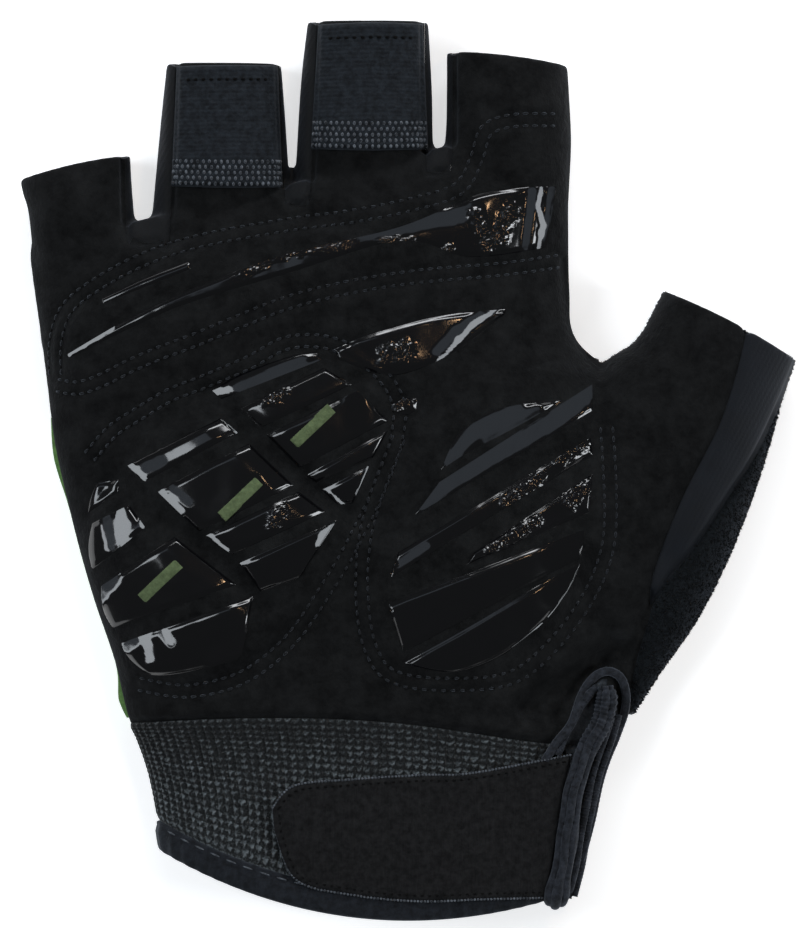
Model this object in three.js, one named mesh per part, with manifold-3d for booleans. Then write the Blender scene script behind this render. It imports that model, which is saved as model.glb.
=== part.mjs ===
// Short-finger cycling glove for the right hand, lying on its back with the palm up.
// +X is the thumb side, +Y points along the fingers and +Z is up.
// The origin is below the middle of the outline.
import * as THREE from 'three';
import { mergeVertices } from 'three/addons/utils/BufferGeometryUtils.js';
import Module from 'manifold-3d';

const wasm = await Module();
wasm.setup();

// Driving sizes in millimetres
const GLOVE_LENGTH = 162.7; // from the hem to the middle finger's opening
const PALM_WIDTH = 97.4; // across the finger bases
const PALM_DEPTH = 19.5; // from the back to the crown of the palm, without the gel pads
const FINGER_DEPTH = 15.5;
const THUMB_DEPTH = 18;
const SEAM_HEIGHT = 7; // of the side seams above the surface that the back lies on
const BACK_CORNER = 8; // width of the rounded corner between the side seam and the flat back
const WALL = 1.4;
const SEAM_GAP = 0.3; // between the edges of neighbouring panels
const SEAT_GAP = 0.4; // between a piece and what it is sewn or printed on
const GEL_RISE = 2.4; // of the two large gel pads
const RIDGE_RISE = 1.1; // of the long pad below the fingers
const PRINT_THICKNESS = 0.9;
const STRAP_THICKNESS = 1.8;
const TAB_THICKNESS = 1.7;
const TAB_LIFT = 1.2; // of the tabs' free edge
const HEM_HEIGHT = 5.2;
const HEM_PROUD = 0.5; // of the binding over the knit
const CROWN_POWER = 2.6; // how squarely the palm side's section rises from its side seams
const PIPING_RADIUS = 0.85;
const ROLL_RADIUS = 2.05;

// Numbers of facets
const PALM_ROWS = 26;
const PALM_FACETS = 20;
const FINGER_ROWS = 5;
const FINGER_FACETS = 8;
const THUMB_ROWS = 9;
const THUMB_FACETS = 10;
const HOLLOW_ROWS = 12;
const HOLLOW_FACETS = 12;
const CORNER_FACETS = 3;
const CORD_SIDES = 8;
const HEM_STEPS = 12;

// Rows across each tube of the glove, from the wrist or the base to the open end.
// left and right are the outline's points: across as a share of the palm width, and
// along as a share of the length. depth is a share of the tube's named depth.
// sag bows the row towards the wrist, as a share of the length.
const PALM_TABLE = [
  { left: [-0.453, -0.42], right: [0.296, -0.466], sag: 0.049, depth: 0.84 },
  { left: [-0.464, -0.379], right: [0.333, -0.402], sag: 0.035, depth: 0.84 },
  { left: [-0.479, -0.335], right: [0.355, -0.352], sag: 0.02, depth: 0.84 },
  { left: [-0.499, -0.299], right: [0.377, -0.31], sag: 0.008, depth: 0.85 },
  { left: [-0.521, -0.268], right: [0.392, -0.27], sag: 0, depth: 0.88 },
  { left: [-0.545, -0.208], right: [0.414, -0.212], sag: 0, depth: 0.93 },
  { left: [-0.582, -0.142], right: [0.421, -0.142], sag: 0, depth: 0.97 },
  { left: [-0.61, -0.084], right: [0.42, -0.081], sag: 0, depth: 1 },
  { left: [-0.636, -0.021], right: [0.429, -0.02], sag: 0, depth: 1 },
  { left: [-0.656, 0.035], right: [0.447, 0.039], sag: 0, depth: 1 },
  { left: [-0.669, 0.097], right: [0.41, 0.095], sag: 0, depth: 1 },
  { left: [-0.678, 0.14], right: [0.314, 0.146], sag: 0, depth: 0.99 },
  { left: [-0.688, 0.181], right: [0.301, 0.201], sag: 0, depth: 0.97 },
  { left: [-0.697, 0.218], right: [0.299, 0.284], sag: 0, depth: 0.92 },
  { left: [-0.701, 0.237], right: [0.298, 0.356], sag: 0, depth: 0.84 },
  { left: [-0.701, 0.248], right: [0.298, 0.393], sag: 0, depth: 0.74 },
];
const THUMB_TABLE = [
  { left: [0.133, -0.241], right: [0.418, -0.27], sag: 0, depth: 0.5 },
  { left: [0.17, -0.158], right: [0.473, -0.219], sag: 0, depth: 0.7 },
  { left: [0.216, -0.081], right: [0.534, -0.166], sag: 0, depth: 0.86 },
  { left: [0.262, -0.003], right: [0.593, -0.097], sag: 0, depth: 0.96 },
  { left: [0.311, 0.071], right: [0.643, -0.02], sag: 0, depth: 1 },
  { left: [0.362, 0.121], right: [0.675, 0.041], sag: 0, depth: 1 },
  { left: [0.423, 0.148], right: [0.697, 0.086], sag: 0, depth: 0.97 },
  { left: [0.471, 0.201], right: [0.719, 0.123], sag: -0.004, depth: 0.92 },
];
const FINGER_TABLES = {
  little: [
    { left: [-0.68, 0.14], right: [-0.49, 0.17], sag: 0, depth: 0.5 },
    { left: [-0.69, 0.21], right: [-0.497, 0.232], sag: 0, depth: 0.84 },
    { left: [-0.702, 0.284], right: [-0.505, 0.285], sag: 0, depth: 0.96 },
    { left: [-0.712, 0.306], right: [-0.51, 0.325], sag: 0, depth: 0.92 },
    { left: [-0.719, 0.323], right: [-0.512, 0.351], sag: -0.003, depth: 0.88 },
  ],
  ring: [
    { left: [-0.485, 0.16], right: [-0.206, 0.19], sag: 0, depth: 0.5 },
    { left: [-0.481, 0.24], right: [-0.207, 0.26], sag: 0, depth: 0.9 },
    { left: [-0.471, 0.305], right: [-0.213, 0.326], sag: 0, depth: 1 },
    { left: [-0.458, 0.389], right: [-0.224, 0.398], sag: 0, depth: 0.96 },
    { left: [-0.447, 0.452], right: [-0.233, 0.451], sag: 0, depth: 0.92 },
  ],
  middle: [
    { left: [-0.218, 0.19], right: [0.06, 0.22], sag: 0, depth: 0.5 },
    { left: [-0.213, 0.28], right: [0.056, 0.3], sag: 0, depth: 0.9 },
    { left: [-0.205, 0.356], right: [0.048, 0.361], sag: 0, depth: 1 },
    { left: [-0.196, 0.434], right: [0.046, 0.423], sag: 0, depth: 0.97 },
    { left: [-0.187, 0.498], right: [0.039, 0.498], sag: 0, depth: 0.93 },
  ],
  index: [
    { left: [0.045, 0.22], right: [0.296, 0.22], sag: 0, depth: 0.5 },
    { left: [0.05, 0.3], right: [0.299, 0.3], sag: 0, depth: 0.86 },
    { left: [0.067, 0.367], right: [0.303, 0.364], sag: 0, depth: 1 },
    { left: [0.07, 0.42], right: [0.299, 0.42], sag: 0, depth: 0.97 },
    { left: [0.07, 0.465], right: [0.296, 0.449], sag: -0.003, depth: 0.93 },
  ],
};

// Gel pads under the suede: centre and reaches as shares, turn in degrees from +X
const GEL_PADS = [
  { centre: [-0.32, -0.059], along: 0.37, across: 0.225, turn: 42 },
  { centre: [0.155, -0.062], along: 0.35, across: 0.195, turn: 56 },
];
const RIDGE = { route: [[-0.616, 0.115], [-0.384, 0.19], [0.022, 0.262], [0.244, 0.301]], reach: 0.1 };

// Creases of the cloth: reach as a share of the palm width and dip as a share of the depth
const CREASES = [
  { route: [[0.237, -0.258], [0.32, -0.218], [0.388, -0.195]], reach: 0.04, dip: 0.06 },
  { route: [[0.44, -0.16], [0.45, -0.06], [0.5, 0.0]], reach: 0.05, dip: 0.05 },
  { route: [[0.3, 0.15], [0.33, 0.1], [0.36, 0.04]], reach: 0.05, dip: 0.05 },
  { route: [[-0.2, -0.23], [-0.02, -0.17], [0.03, -0.05]], reach: 0.06, dip: 0.03 },
];

// Seams of the panels in plan
const CUFF_LINE = [[-0.643, -0.283], [-0.505, -0.277], [-0.264, -0.271], [-0.015, -0.277], [0.253, -0.299],
  [0.54, -0.313]];
const STRETCH_INNER = [[0.628, 0.19], [0.621, 0.149], [0.577, 0.058], [0.503, -0.031], [0.451, -0.114],
  [0.447, -0.147]];
const STRETCH_OUTER = [[0.725, 0.085], [0.669, 0.025], [0.588, -0.028], [0.529, -0.074], [0.495, -0.108],
  [0.451, -0.147]];
const TERRY_TAIL = [[0.438, -0.175], [0.418, -0.217], [0.409, -0.252], [0.429, -0.285]];
const TERRY_BACK = [[0.355, 0.157], [0.333, 0.058], [0.34, -0.053], [0.373, -0.153], [0.418, -0.217],
  [0.409, -0.252], [0.429, -0.285]];
const TRIM_EDGE = [[-0.75, 0.06], [-0.617, 0.06], [-0.573, -0.053], [-0.532, -0.142], [-0.477, -0.272],
  [-0.6, -0.272]];
const FOURCHETTES = {
  little_ring: [[-0.525, 0.6], [-0.52, 0.282], [-0.504, 0.259], [-0.48, 0.252], [-0.455, 0.256],
    [-0.438, 0.274], [-0.425, 0.6]],
  ring_middle: [[-0.244, 0.6], [-0.229, 0.323], [-0.216, 0.296], [-0.196, 0.296], [-0.179, 0.321],
    [-0.166, 0.6]],
  middle_index: [[0.03, 0.6], [0.033, 0.354], [0.046, 0.332], [0.067, 0.332], [0.081, 0.356],
    [0.081, 0.6]],
};
const SLIT = [[0.274, -0.308], [0.301, -0.279], [0.322, -0.243], [0.348, -0.229], [0.368, -0.228],
  [0.364, -0.252], [0.355, -0.277], [0.333, -0.299], [0.311, -0.319]];

// Routes of the cords round the slit
const PIPING_ROUTE = [[0.275, -0.299], [0.301, -0.277], [0.32, -0.246], [0.342, -0.227], [0.368, -0.22],
  [0.392, -0.227], [0.402, -0.245], [0.4, -0.265], [0.385, -0.291], [0.366, -0.318], [0.352, -0.345],
  [0.338, -0.385], [0.318, -0.43], [0.302, -0.462]];
const ROLL_ROUTE = [[0.364, -0.236], [0.366, -0.253], [0.356, -0.277], [0.338, -0.296], [0.323, -0.315],
  [0.311, -0.338], [0.301, -0.363], [0.29, -0.418], [0.27, -0.476]];

// Flat pieces laid on the glove, between an upper and a lower edge from left to right
const STRAP = {
  upper: [[-0.251, -0.369], [-0.211, -0.344], [-0.109, -0.337], [0.022, -0.332], [0.115, -0.33],
    [0.28, -0.312]],
  lower: [[-0.246, -0.397], [-0.207, -0.45], [-0.102, -0.467], [0.022, -0.474], [0.133, -0.47],
    [0.242, -0.469]],
};
const TABS = {
  ring: { upper: [[-0.427, 0.448], [-0.334, 0.449], [-0.24, 0.449]],
    lower: [[-0.436, 0.315], [-0.334, 0.313], [-0.231, 0.314]] },
  middle: { upper: [[-0.166, 0.494], [-0.069, 0.496], [0.028, 0.495]],
    lower: [[-0.179, 0.356], [-0.071, 0.354], [0.037, 0.356]] },
};
const CURVED_PRINTS = {
  swoosh_thin: { upper: [[-0.564, 0.191], [-0.486, 0.213], [-0.401, 0.232]],
    lower: [[-0.562, 0.184], [-0.481, 0.204], [-0.399, 0.223]] },
  swoosh_long: { upper: [[-0.628, 0.131], [-0.514, 0.17], [-0.405, 0.201], [-0.222, 0.241], [-0.015, 0.271],
    [0.14, 0.308], [0.274, 0.316]],
  lower: [[-0.625, 0.124], [-0.514, 0.156], [-0.405, 0.184], [-0.222, 0.217], [-0.015, 0.253],
    [0.115, 0.236], [0.255, 0.247]] },
  fin: { upper: [[-0.137, 0.136], [-0.063, 0.154], [0.061, 0.173], [0.183, 0.181]],
    lower: [[-0.126, 0.122], [-0.024, 0.106], [0.087, 0.132], [0.176, 0.172]] },
  spark: { upper: [[-0.031, 0.075], [-0.006, 0.081], [0.018, 0.081]],
    lower: [[-0.028, 0.066], [-0.006, 0.062], [0.015, 0.067]] },
};

// Straight grip stripes: ends of the upper and the lower edge.
// rise and fall bow the upper edge up and the lower edge down midway, as shares of the length.
const STRIPES = {
  outer_high_1: {
    upper: [[-0.325, 0.09], [-0.166, 0.132]], lower: [[-0.318, 0.08], [-0.161, 0.123]], rise: 0.008,
  },
  outer_high_2: { upper: [[-0.309, 0.07], [-0.155, 0.115]], lower: [[-0.27, 0.048], [-0.102, 0.096]] },
  outer_high_3: { upper: [[-0.261, 0.041], [-0.094, 0.09]], lower: [[-0.2, 0.004], [-0.035, 0.056]] },
  outer_high_4: { upper: [[-0.19, -0.003], [-0.035, 0.047]], lower: [[-0.168, -0.013], [-0.065, 0.015]] },
  outer_high_5: { upper: [[-0.161, -0.019], [-0.07, 0.008]], lower: [[-0.128, -0.037], [-0.102, -0.035]] },
  outer_mid_1: { upper: [[-0.518, 0.007], [-0.344, 0.06]], lower: [[-0.484, -0.011], [-0.311, 0.043]] },
  outer_mid_2: { upper: [[-0.462, -0.021], [-0.292, 0.032]], lower: [[-0.384, -0.066], [-0.209, -0.015]] },
  outer_mid_3: { upper: [[-0.373, -0.07], [-0.201, -0.021]], lower: [[-0.323, -0.091], [-0.15, -0.044]] },
  outer_mid_4: { upper: [[-0.311, -0.099], [-0.129, -0.052]], lower: [[-0.27, -0.133], [-0.2, -0.117]] },
  outer_low_1: { upper: [[-0.573, -0.011], [-0.532, -0.007]], lower: [[-0.59, -0.046], [-0.534, -0.023]] },
  outer_low_2: { upper: [[-0.575, -0.056], [-0.514, -0.035]], lower: [[-0.57, -0.11], [-0.481, -0.062]] },
  outer_low_3: { upper: [[-0.555, -0.124], [-0.429, -0.071]], lower: [[-0.53, -0.173], [-0.314, -0.124]] },
  outer_low_4: { upper: [[-0.52, -0.188], [-0.283, -0.136]], lower: [[-0.473, -0.221], [-0.305, -0.202]] },
  thumb_pad_1: {
    upper: [[0.061, 0.004], [0.285, 0.083]], lower: [[0.063, 0.0], [0.285, 0.079]], rise: 0.012,
  },
  thumb_pad_2: { upper: [[0.057, -0.011], [0.34, 0.098]], lower: [[0.011, -0.048], [0.34, 0.067]] },
  thumb_pad_3: { upper: [[-0.018, -0.088], [0.336, 0.039]], lower: [[-0.035, -0.117], [0.34, 0.018]] },
  thumb_pad_4: { upper: [[0.122, -0.087], [0.34, -0.001]], lower: [[0.107, -0.103], [0.333, -0.045]] },
  thumb_pad_5: { upper: [[-0.037, -0.144], [0.325, -0.062]], lower: [[-0.009, -0.199], [0.318, -0.095]] },
  thumb_pad_6: {
    upper: [[0.004, -0.207], [0.312, -0.103]], lower: [[0.059, -0.217], [0.218, -0.183]], fall: 0.008,
  },
};

// Plan point in millimetres from its shares
function plan([across, along]) {
  return new THREE.Vector2(across * PALM_WIDTH, along * GLOVE_LENGTH);
}

// Smooth curve through plan points
function smoothLine(shares, count) {
  return new THREE.SplineCurve(shares.map(plan)).getPoints(count);
}

// Closed triangle mesh as a solid
function solidFrom(positions, triangles) {
  const mesh = new wasm.Mesh({
    numProp: 3,
    vertProperties: new Float32Array(positions),
    triVerts: new Uint32Array(triangles),
  });
  return new wasm.Manifold(mesh);
}

// Solid of a closed three.js geometry
function solidOf(geometry) {
  geometry.deleteAttribute('normal');
  geometry.deleteAttribute('uv');
  const merged = mergeVertices(geometry, 1e-4);
  return solidFrom(merged.attributes.position.array, merged.index.array);
}

// Geometry of a solid
function geometryOf(solid) {
  const mesh = solid.getMesh();
  const geometry = new THREE.BufferGeometry();
  geometry.setAttribute('position', new THREE.BufferAttribute(new Float32Array(mesh.vertProperties), 3));
  geometry.setIndex(new THREE.BufferAttribute(new Uint32Array(mesh.triVerts), 1));
  return geometry;
}

// Value between the rows of a table at t from 0 to 1, on a smooth curve through the rows
function smoothValue(values, t) {
  const place = t * (values.length - 1);
  const index = Math.min(Math.floor(place), values.length - 2);
  const part = place - index;
  const before = values[Math.max(index - 1, 0)];
  const from = values[index];
  const to = values[index + 1];
  const after = values[Math.min(index + 2, values.length - 1)];
  const slopeFrom = (to - before) / 2;
  const slopeTo = (after - from) / 2;
  const square = part * part;
  const cube = square * part;
  return (2 * cube - 3 * square + 1) * from + (cube - 2 * square + part) * slopeFrom
    + (3 * square - 2 * cube) * to + (cube - square) * slopeTo;
}

// Row of a tube at t, in millimetres
function rowAt(table, depth, t) {
  const value = (pick) => smoothValue(table.map(pick), t);
  return {
    left: plan([value((row) => row.left[0]), value((row) => row.left[1])]),
    right: plan([value((row) => row.right[0]), value((row) => row.right[1])]),
    sag: value((row) => row.sag) * GLOVE_LENGTH,
    depth: value((row) => row.depth) * depth,
    shift: 0,
  };
}

// Height share of the crowned palm side at s, from -1 at one side seam to 1 at the other
function crownShare(s) {
  return Math.sqrt(Math.max(0, 1 - Math.abs(s) ** CROWN_POWER));
}

// Closed section across a row, inset from the outer face
function sectionPoints(row, facets, inset) {
  const middle = row.left.clone().add(row.right).multiplyScalar(0.5);
  const across = row.right.clone().sub(row.left);
  const half = across.length() / 2 - inset;
  across.normalize();
  const forward = new THREE.Vector2(-across.y, across.x);
  const floor = Math.max(inset, 0);
  const corner = Math.min(BACK_CORNER, half / 2);
  const flat = [];
  for (let i = 0; i <= facets; i += 1) {
    const s = -Math.cos((Math.PI * i) / facets);
    flat.push([s * half, SEAM_HEIGHT + (row.depth - SEAM_HEIGHT - inset) * crownShare(s)]);
  }
  for (let i = 1; i <= CORNER_FACETS; i += 1) {
    const angle = (Math.PI / 2) * (i / CORNER_FACETS);
    flat.push([half - corner * (1 - Math.cos(angle)), SEAM_HEIGHT - (SEAM_HEIGHT - floor) * Math.sin(angle)]);
  }
  for (let i = CORNER_FACETS; i >= 1; i -= 1) {
    const angle = (Math.PI / 2) * (i / CORNER_FACETS);
    flat.push([corner * (1 - Math.cos(angle)) - half, SEAM_HEIGHT - (SEAM_HEIGHT - floor) * Math.sin(angle)]);
  }
  return flat.map(([x, z]) => {
    const ahead = row.shift - row.sag * (1 - (x / half) ** 2);
    return [middle.x + across.x * x + forward.x * ahead, middle.y + across.y * x + forward.y * ahead, z];
  });
}

// Solid tube through the rows of a table. Its ends are moved outwards by startRun and endRun.
function tube(table, depth, { rows, facets, inset = 0, startRun = 0, endRun = 0 }) {
  const list = [];
  for (let i = 0; i <= rows; i += 1) {
    list.push(rowAt(table, depth, i / rows));
  }
  if (startRun > 0) {
    list.unshift({ ...list[0], shift: -startRun });
  }
  if (endRun > 0) {
    list.push({ ...list[list.length - 1], shift: endRun });
  } else {
    list[list.length - 1].shift = endRun;
  }
  const rings = list.map((row) => sectionPoints(row, facets, inset));
  const count = rings[0].length;
  const positions = rings.flat(2);
  const triangles = [];
  for (let r = 0; r < rings.length - 1; r += 1) {
    for (let i = 0; i < count; i += 1) {
      const a = r * count + i;
      const b = r * count + ((i + 1) % count);
      triangles.push(a, b, a + count, b, b + count, a + count);
    }
  }
  [0, rings.length - 1].forEach((r, end) => {
    const centre = positions.length / 3;
    for (const axis of [0, 1, 2]) {
      positions.push(rings[r].reduce((total, point) => total + point[axis], 0) / count);
    }
    for (let i = 0; i < count; i += 1) {
      const a = r * count + i;
      const b = r * count + ((i + 1) % count);
      triangles.push(...(end === 0 ? [centre, b, a] : [centre, a, b]));
    }
  });
  return solidFrom(positions, triangles);
}

// Upright prism of a plan outline between two heights
function prism(outline, low, high) {
  const shape = new THREE.Shape(outline);
  const geometry = new THREE.ExtrudeGeometry(shape, { depth: high - low, bevelEnabled: false });
  geometry.translate(0, 0, low);
  return solidOf(geometry);
}

// Plan outline moved outwards by a distance, or inwards where it is negative
function grown(outline, distance) {
  const sign = THREE.ShapeUtils.isClockWise(outline) ? -1 : 1;
  return outline.map((point, i) => {
    const before = outline[(i + outline.length - 1) % outline.length];
    const after = outline[(i + 1) % outline.length];
    const first = point.clone().sub(before).normalize();
    const second = after.clone().sub(point).normalize();
    const turn = new THREE.Vector2(first.y + second.y, -first.x - second.x).normalize();
    const stretch = Math.max(0.5, turn.dot(new THREE.Vector2(first.y, -first.x)));
    return point.clone().addScaledVector(turn, (sign * distance) / stretch);
  });
}

// Distance from a plan point to a line through plan points
function distanceToRoute(x, y, route) {
  let nearest = Infinity;
  for (let i = 0; i < route.length - 1; i += 1) {
    const from = route[i];
    const step = route[i + 1].clone().sub(from);
    const share = ((x - from.x) * step.x + (y - from.y) * step.y) / step.lengthSq();
    const held = Math.min(1, Math.max(0, share));
    nearest = Math.min(nearest, Math.hypot(x - from.x - step.x * held, y - from.y - step.y * held));
  }
  return nearest;
}

// Rise of the palm side over its plain form at a plan point: gel pads, finger ridge and creases
function reliefAt(x, y) {
  let rise = 0;
  for (const pad of GEL_PADS) {
    const centre = plan(pad.centre);
    const turn = THREE.MathUtils.degToRad(pad.turn);
    const dx = x - centre.x;
    const dy = y - centre.y;
    const along = (dx * Math.cos(turn) + dy * Math.sin(turn)) / (pad.along * PALM_WIDTH);
    const across = (dy * Math.cos(turn) - dx * Math.sin(turn)) / (pad.across * PALM_WIDTH);
    const reach = along * along + across * across;
    rise += reach < 1 ? GEL_RISE * (1 - reach * reach) : 0;
  }
  const off = distanceToRoute(x, y, RIDGE.route.map(plan)) / (RIDGE.reach * PALM_WIDTH);
  rise += off < 1 ? RIDGE_RISE * (1 - off * off) : 0;
  for (const crease of CREASES) {
    const away = distanceToRoute(x, y, crease.route.map(plan)) / (crease.reach * PALM_WIDTH);
    rise -= crease.dip * PALM_DEPTH * Math.exp(-away * away);
  }
  return rise;
}

// Outer face of the glove as one solid, with the relief of the palm side
const palmSize = { rows: PALM_ROWS, facets: PALM_FACETS };
const thumbSize = { rows: THUMB_ROWS, facets: THUMB_FACETS };
const fingerSize = { rows: FINGER_ROWS, facets: FINGER_FACETS };
const fingerTables = Object.values(FINGER_TABLES);

function makeOuter() {
  let plain = tube(PALM_TABLE, PALM_DEPTH, palmSize);
  plain = plain.add(tube(THUMB_TABLE, THUMB_DEPTH, thumbSize));
  for (const table of fingerTables) {
    plain = plain.add(tube(table, FINGER_DEPTH, fingerSize));
  }
  const mesh = plain.getMesh();
  const positions = Array.from(mesh.vertProperties);
  for (let i = 0; i < positions.length; i += 3) {
    const upper = Math.min(1, Math.max(0, (positions[i + 2] - SEAM_HEIGHT) / (SEAM_HEIGHT / 2)));
    positions[i + 2] += upper * reliefAt(positions[i], positions[i + 1]);
  }
  return solidFrom(positions, mesh.triVerts);
}

// Hollow of the hand, open at the wrist, the fingers and the thumb
function makeHollow() {
  const run = 2 * WALL;
  const hollowSize = { rows: HOLLOW_ROWS, facets: HOLLOW_FACETS, inset: WALL, startRun: run, endRun: -WALL };
  const palm = tube(PALM_TABLE, PALM_DEPTH, hollowSize);
  const thumb = tube(THUMB_TABLE, THUMB_DEPTH, { ...thumbSize, inset: WALL, endRun: run });
  let all = palm.add(thumb);
  for (const table of fingerTables) {
    all = all.add(tube(table, FINGER_DEPTH, { ...fingerSize, inset: WALL, endRun: run }));
  }
  return all;
}

const outer = makeOuter();
const hollow = makeHollow();
const shell = outer.subtract(hollow);

// Regions in plan
const FAR = 2 * GLOVE_LENGTH;
const SKY = 10 * PALM_DEPTH;
const halfGap = SEAM_GAP / 2;
const everywhere = [[-1, -1], [1, -1], [1, 1], [-1, 1]].map(([x, y]) => new THREE.Vector2(FAR * x, FAR * y));
const upperHalf = prism(everywhere, SEAM_HEIGHT + halfGap, SKY);
const lowerHalf = prism(everywhere, -SKY, SEAM_HEIGHT - halfGap);
const column = (outline, growth) => prism(grown(outline, growth), -SKY, SKY);

const belowCuffLine = [
  ...smoothLine(CUFF_LINE, 20),
  new THREE.Vector2(FAR, -FAR),
  new THREE.Vector2(-FAR, -FAR),
];

// Line across the palm tube at a distance from the wrist's edge
function hemLine(rise) {
  const row = rowAt(PALM_TABLE, PALM_DEPTH, 0);
  const line = [];
  const reach = 1.2; // past both side seams
  for (let i = 0; i <= HEM_STEPS; i += 1) {
    const s = reach * ((2 * i) / HEM_STEPS - 1);
    const middle = row.left.clone().lerp(row.right, (s + 1) / 2);
    line.push(new THREE.Vector2(middle.x, middle.y + rise - row.sag * (1 - s * s)));
  }
  return line;
}
const belowHemLine = [...hemLine(HEM_HEIGHT), new THREE.Vector2(FAR, -FAR), new THREE.Vector2(-FAR, -FAR)];

const stretchOutline = [
  ...smoothLine(STRETCH_INNER, 12),
  ...smoothLine(STRETCH_OUTER, 12).reverse().slice(1),
  new THREE.Vector2(FAR, plan(STRETCH_OUTER[0]).y + FAR / 4),
  new THREE.Vector2(plan(STRETCH_INNER[0]).x, FAR),
];
const terryOutline = [
  ...smoothLine(STRETCH_OUTER, 12),
  ...TERRY_TAIL.map(plan),
  new THREE.Vector2(FAR, plan(TERRY_TAIL[3]).y),
  new THREE.Vector2(FAR, plan(STRETCH_OUTER[0]).y + FAR / 4),
];
const terryBackOutline = [
  ...smoothLine(TERRY_BACK, 14),
  new THREE.Vector2(FAR, plan(TERRY_TAIL[3]).y),
  new THREE.Vector2(FAR, FAR),
];
const trimOutline = TRIM_EDGE.map(plan);
const slitOutline = SLIT.map(plan);
const slitColumn = column(slitOutline, 0).intersect(upperHalf);

// Panels cut from the shell
const hand = shell.subtract(column(belowCuffLine, halfGap));
let fingersOpen = hand;
for (const outline of Object.values(FOURCHETTES)) {
  fingersOpen = fingersOpen.subtract(column(outline.map(plan), halfGap));
}

function makePalmPanel() {
  return fingersOpen.intersect(upperHalf)
    .subtract(column(stretchOutline, halfGap))
    .subtract(column(terryOutline, halfGap))
    .subtract(slitColumn);
}

function makeBackPanel() {
  return fingersOpen.intersect(lowerHalf)
    .subtract(column(terryBackOutline, halfGap))
    .subtract(column(trimOutline, halfGap));
}

function makeTerryPanel() {
  const front = column(terryOutline, -halfGap).intersect(prism(everywhere, SEAM_HEIGHT - WALL, SKY));
  const back = column(terryBackOutline, -halfGap).intersect(lowerHalf);
  return fingersOpen.intersect(front.add(back));
}

const hemBand = tube(PALM_TABLE, PALM_DEPTH, { ...palmSize, inset: -HEM_PROUD })
  .intersect(column(belowHemLine, -halfGap));

// Height of the glove's upper face at a plan point
const faceGeometry = geometryOf(outer.add(hemBand));
const face = new THREE.Mesh(faceGeometry, new THREE.MeshBasicMaterial({ side: THREE.DoubleSide }));
const probe = new THREE.Raycaster();
function seatAt(x, y) {
  probe.set(new THREE.Vector3(x, y, SKY), new THREE.Vector3(0, 0, -1));
  const hits = probe.intersectObject(face);
  return hits.length > 0 ? hits[0].point.z : SEAM_HEIGHT;
}

function makeTrim() {
  return fingersOpen.intersect(lowerHalf).intersect(column(trimOutline, -halfGap));
}

// Heights of a grid of spots that lies on the glove, raised where the face bulges between the spots
function seatedHeights(spots, columns) {
  const heights = spots.map((spot) => seatAt(spot.x, spot.y) + SEAT_GAP);
  const shares = [0.25, 0.5, 0.75];
  for (let a = 0; a < spots.length - columns; a += 1) {
    if (a % columns === columns - 1) continue;
    const corners = [a, a + 1, a + columns, a + columns + 1];
    let excess = 0;
    for (const p of shares) {
      for (const q of shares) {
        const weights = [(1 - p) * (1 - q), (1 - p) * q, p * (1 - q), p * q];
        const blend = (pick) => corners.reduce((sum, c, k) => sum + weights[k] * pick(c), 0);
        const seat = seatAt(blend((c) => spots[c].x), blend((c) => spots[c].y));
        excess = Math.max(excess, seat + SEAT_GAP - blend((c) => heights[c]));
      }
    }
    for (const c of corners) heights[c] += excess;
  }
  return heights;
}

// Flat piece laid on the glove between two edges, with a crowned top
function laidPiece(upper, lower, { along, across, thickness, rise = 0, fall = 0, lift = 0 }) {
  const over = smoothLine(upper, along);
  const under = smoothLine(lower, along);
  const spots = [];
  for (let i = 0; i <= along; i += 1) {
    const swell = GLOVE_LENGTH * 4 * (i / along) * (1 - i / along);
    for (let j = 0; j <= across; j += 1) {
      const share = j / across;
      const spot = over[i].clone().lerp(under[i], share);
      spot.y += swell * (rise * (1 - share) - fall * share);
      spots.push(spot);
    }
  }
  const seats = seatedHeights(spots, across + 1);
  const layer = spots.length;
  const positions = [];
  for (const top of [0, 1]) {
    spots.forEach((spot, index) => {
      const share = (index % (across + 1)) / across;
      const edge = Math.min(1, 4 * Math.min(share, 1 - share));
      const height = thickness * (0.6 + 0.4 * edge) * top + lift * share * share;
      positions.push(spot.x, spot.y, seats[index] + height);
    });
  }
  const triangles = [];
  for (let i = 0; i < along; i += 1) {
    for (let j = 0; j < across; j += 1) {
      const a = i * (across + 1) + j;
      const b = a + across + 1;
      triangles.push(a, b, a + 1, b, b + 1, a + 1);
      triangles.push(layer + a, layer + a + 1, layer + b, layer + b, layer + a + 1, layer + b + 1);
    }
  }
  const rim = [];
  for (let j = 0; j < across; j += 1) rim.push(j);
  for (let i = 0; i < along; i += 1) rim.push(i * (across + 1) + across);
  for (let j = across; j > 0; j -= 1) rim.push(along * (across + 1) + j);
  for (let i = along; i > 0; i -= 1) rim.push(i * (across + 1));
  rim.forEach((a, i) => {
    const b = rim[(i + 1) % rim.length];
    triangles.push(a, b, layer + a, b, layer + b, layer + a);
  });
  const solid = solidFrom(positions, triangles);
  if (solid.volume() > 0) {
    return solid;
  }
  for (let i = 0; i < triangles.length; i += 3) {
    [triangles[i + 1], triangles[i + 2]] = [triangles[i + 2], triangles[i + 1]];
  }
  return solidFrom(positions, triangles);
}

// Height of a cord's centre that rests on the glove at a plan point
function cordHeight(spot, radius) {
  const reach = radius + SEAT_GAP;
  let height = SEAM_HEIGHT;
  for (const share of [0, 0.5, 0.95]) {
    for (let k = 0; k < 8; k += 1) {
      const angle = (Math.PI * k) / 4;
      const away = share * reach;
      const seat = seatAt(spot.x + away * Math.cos(angle), spot.y + away * Math.sin(angle));
      height = Math.max(height, seat + Math.sqrt(reach * reach - away * away));
    }
  }
  return height;
}

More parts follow.
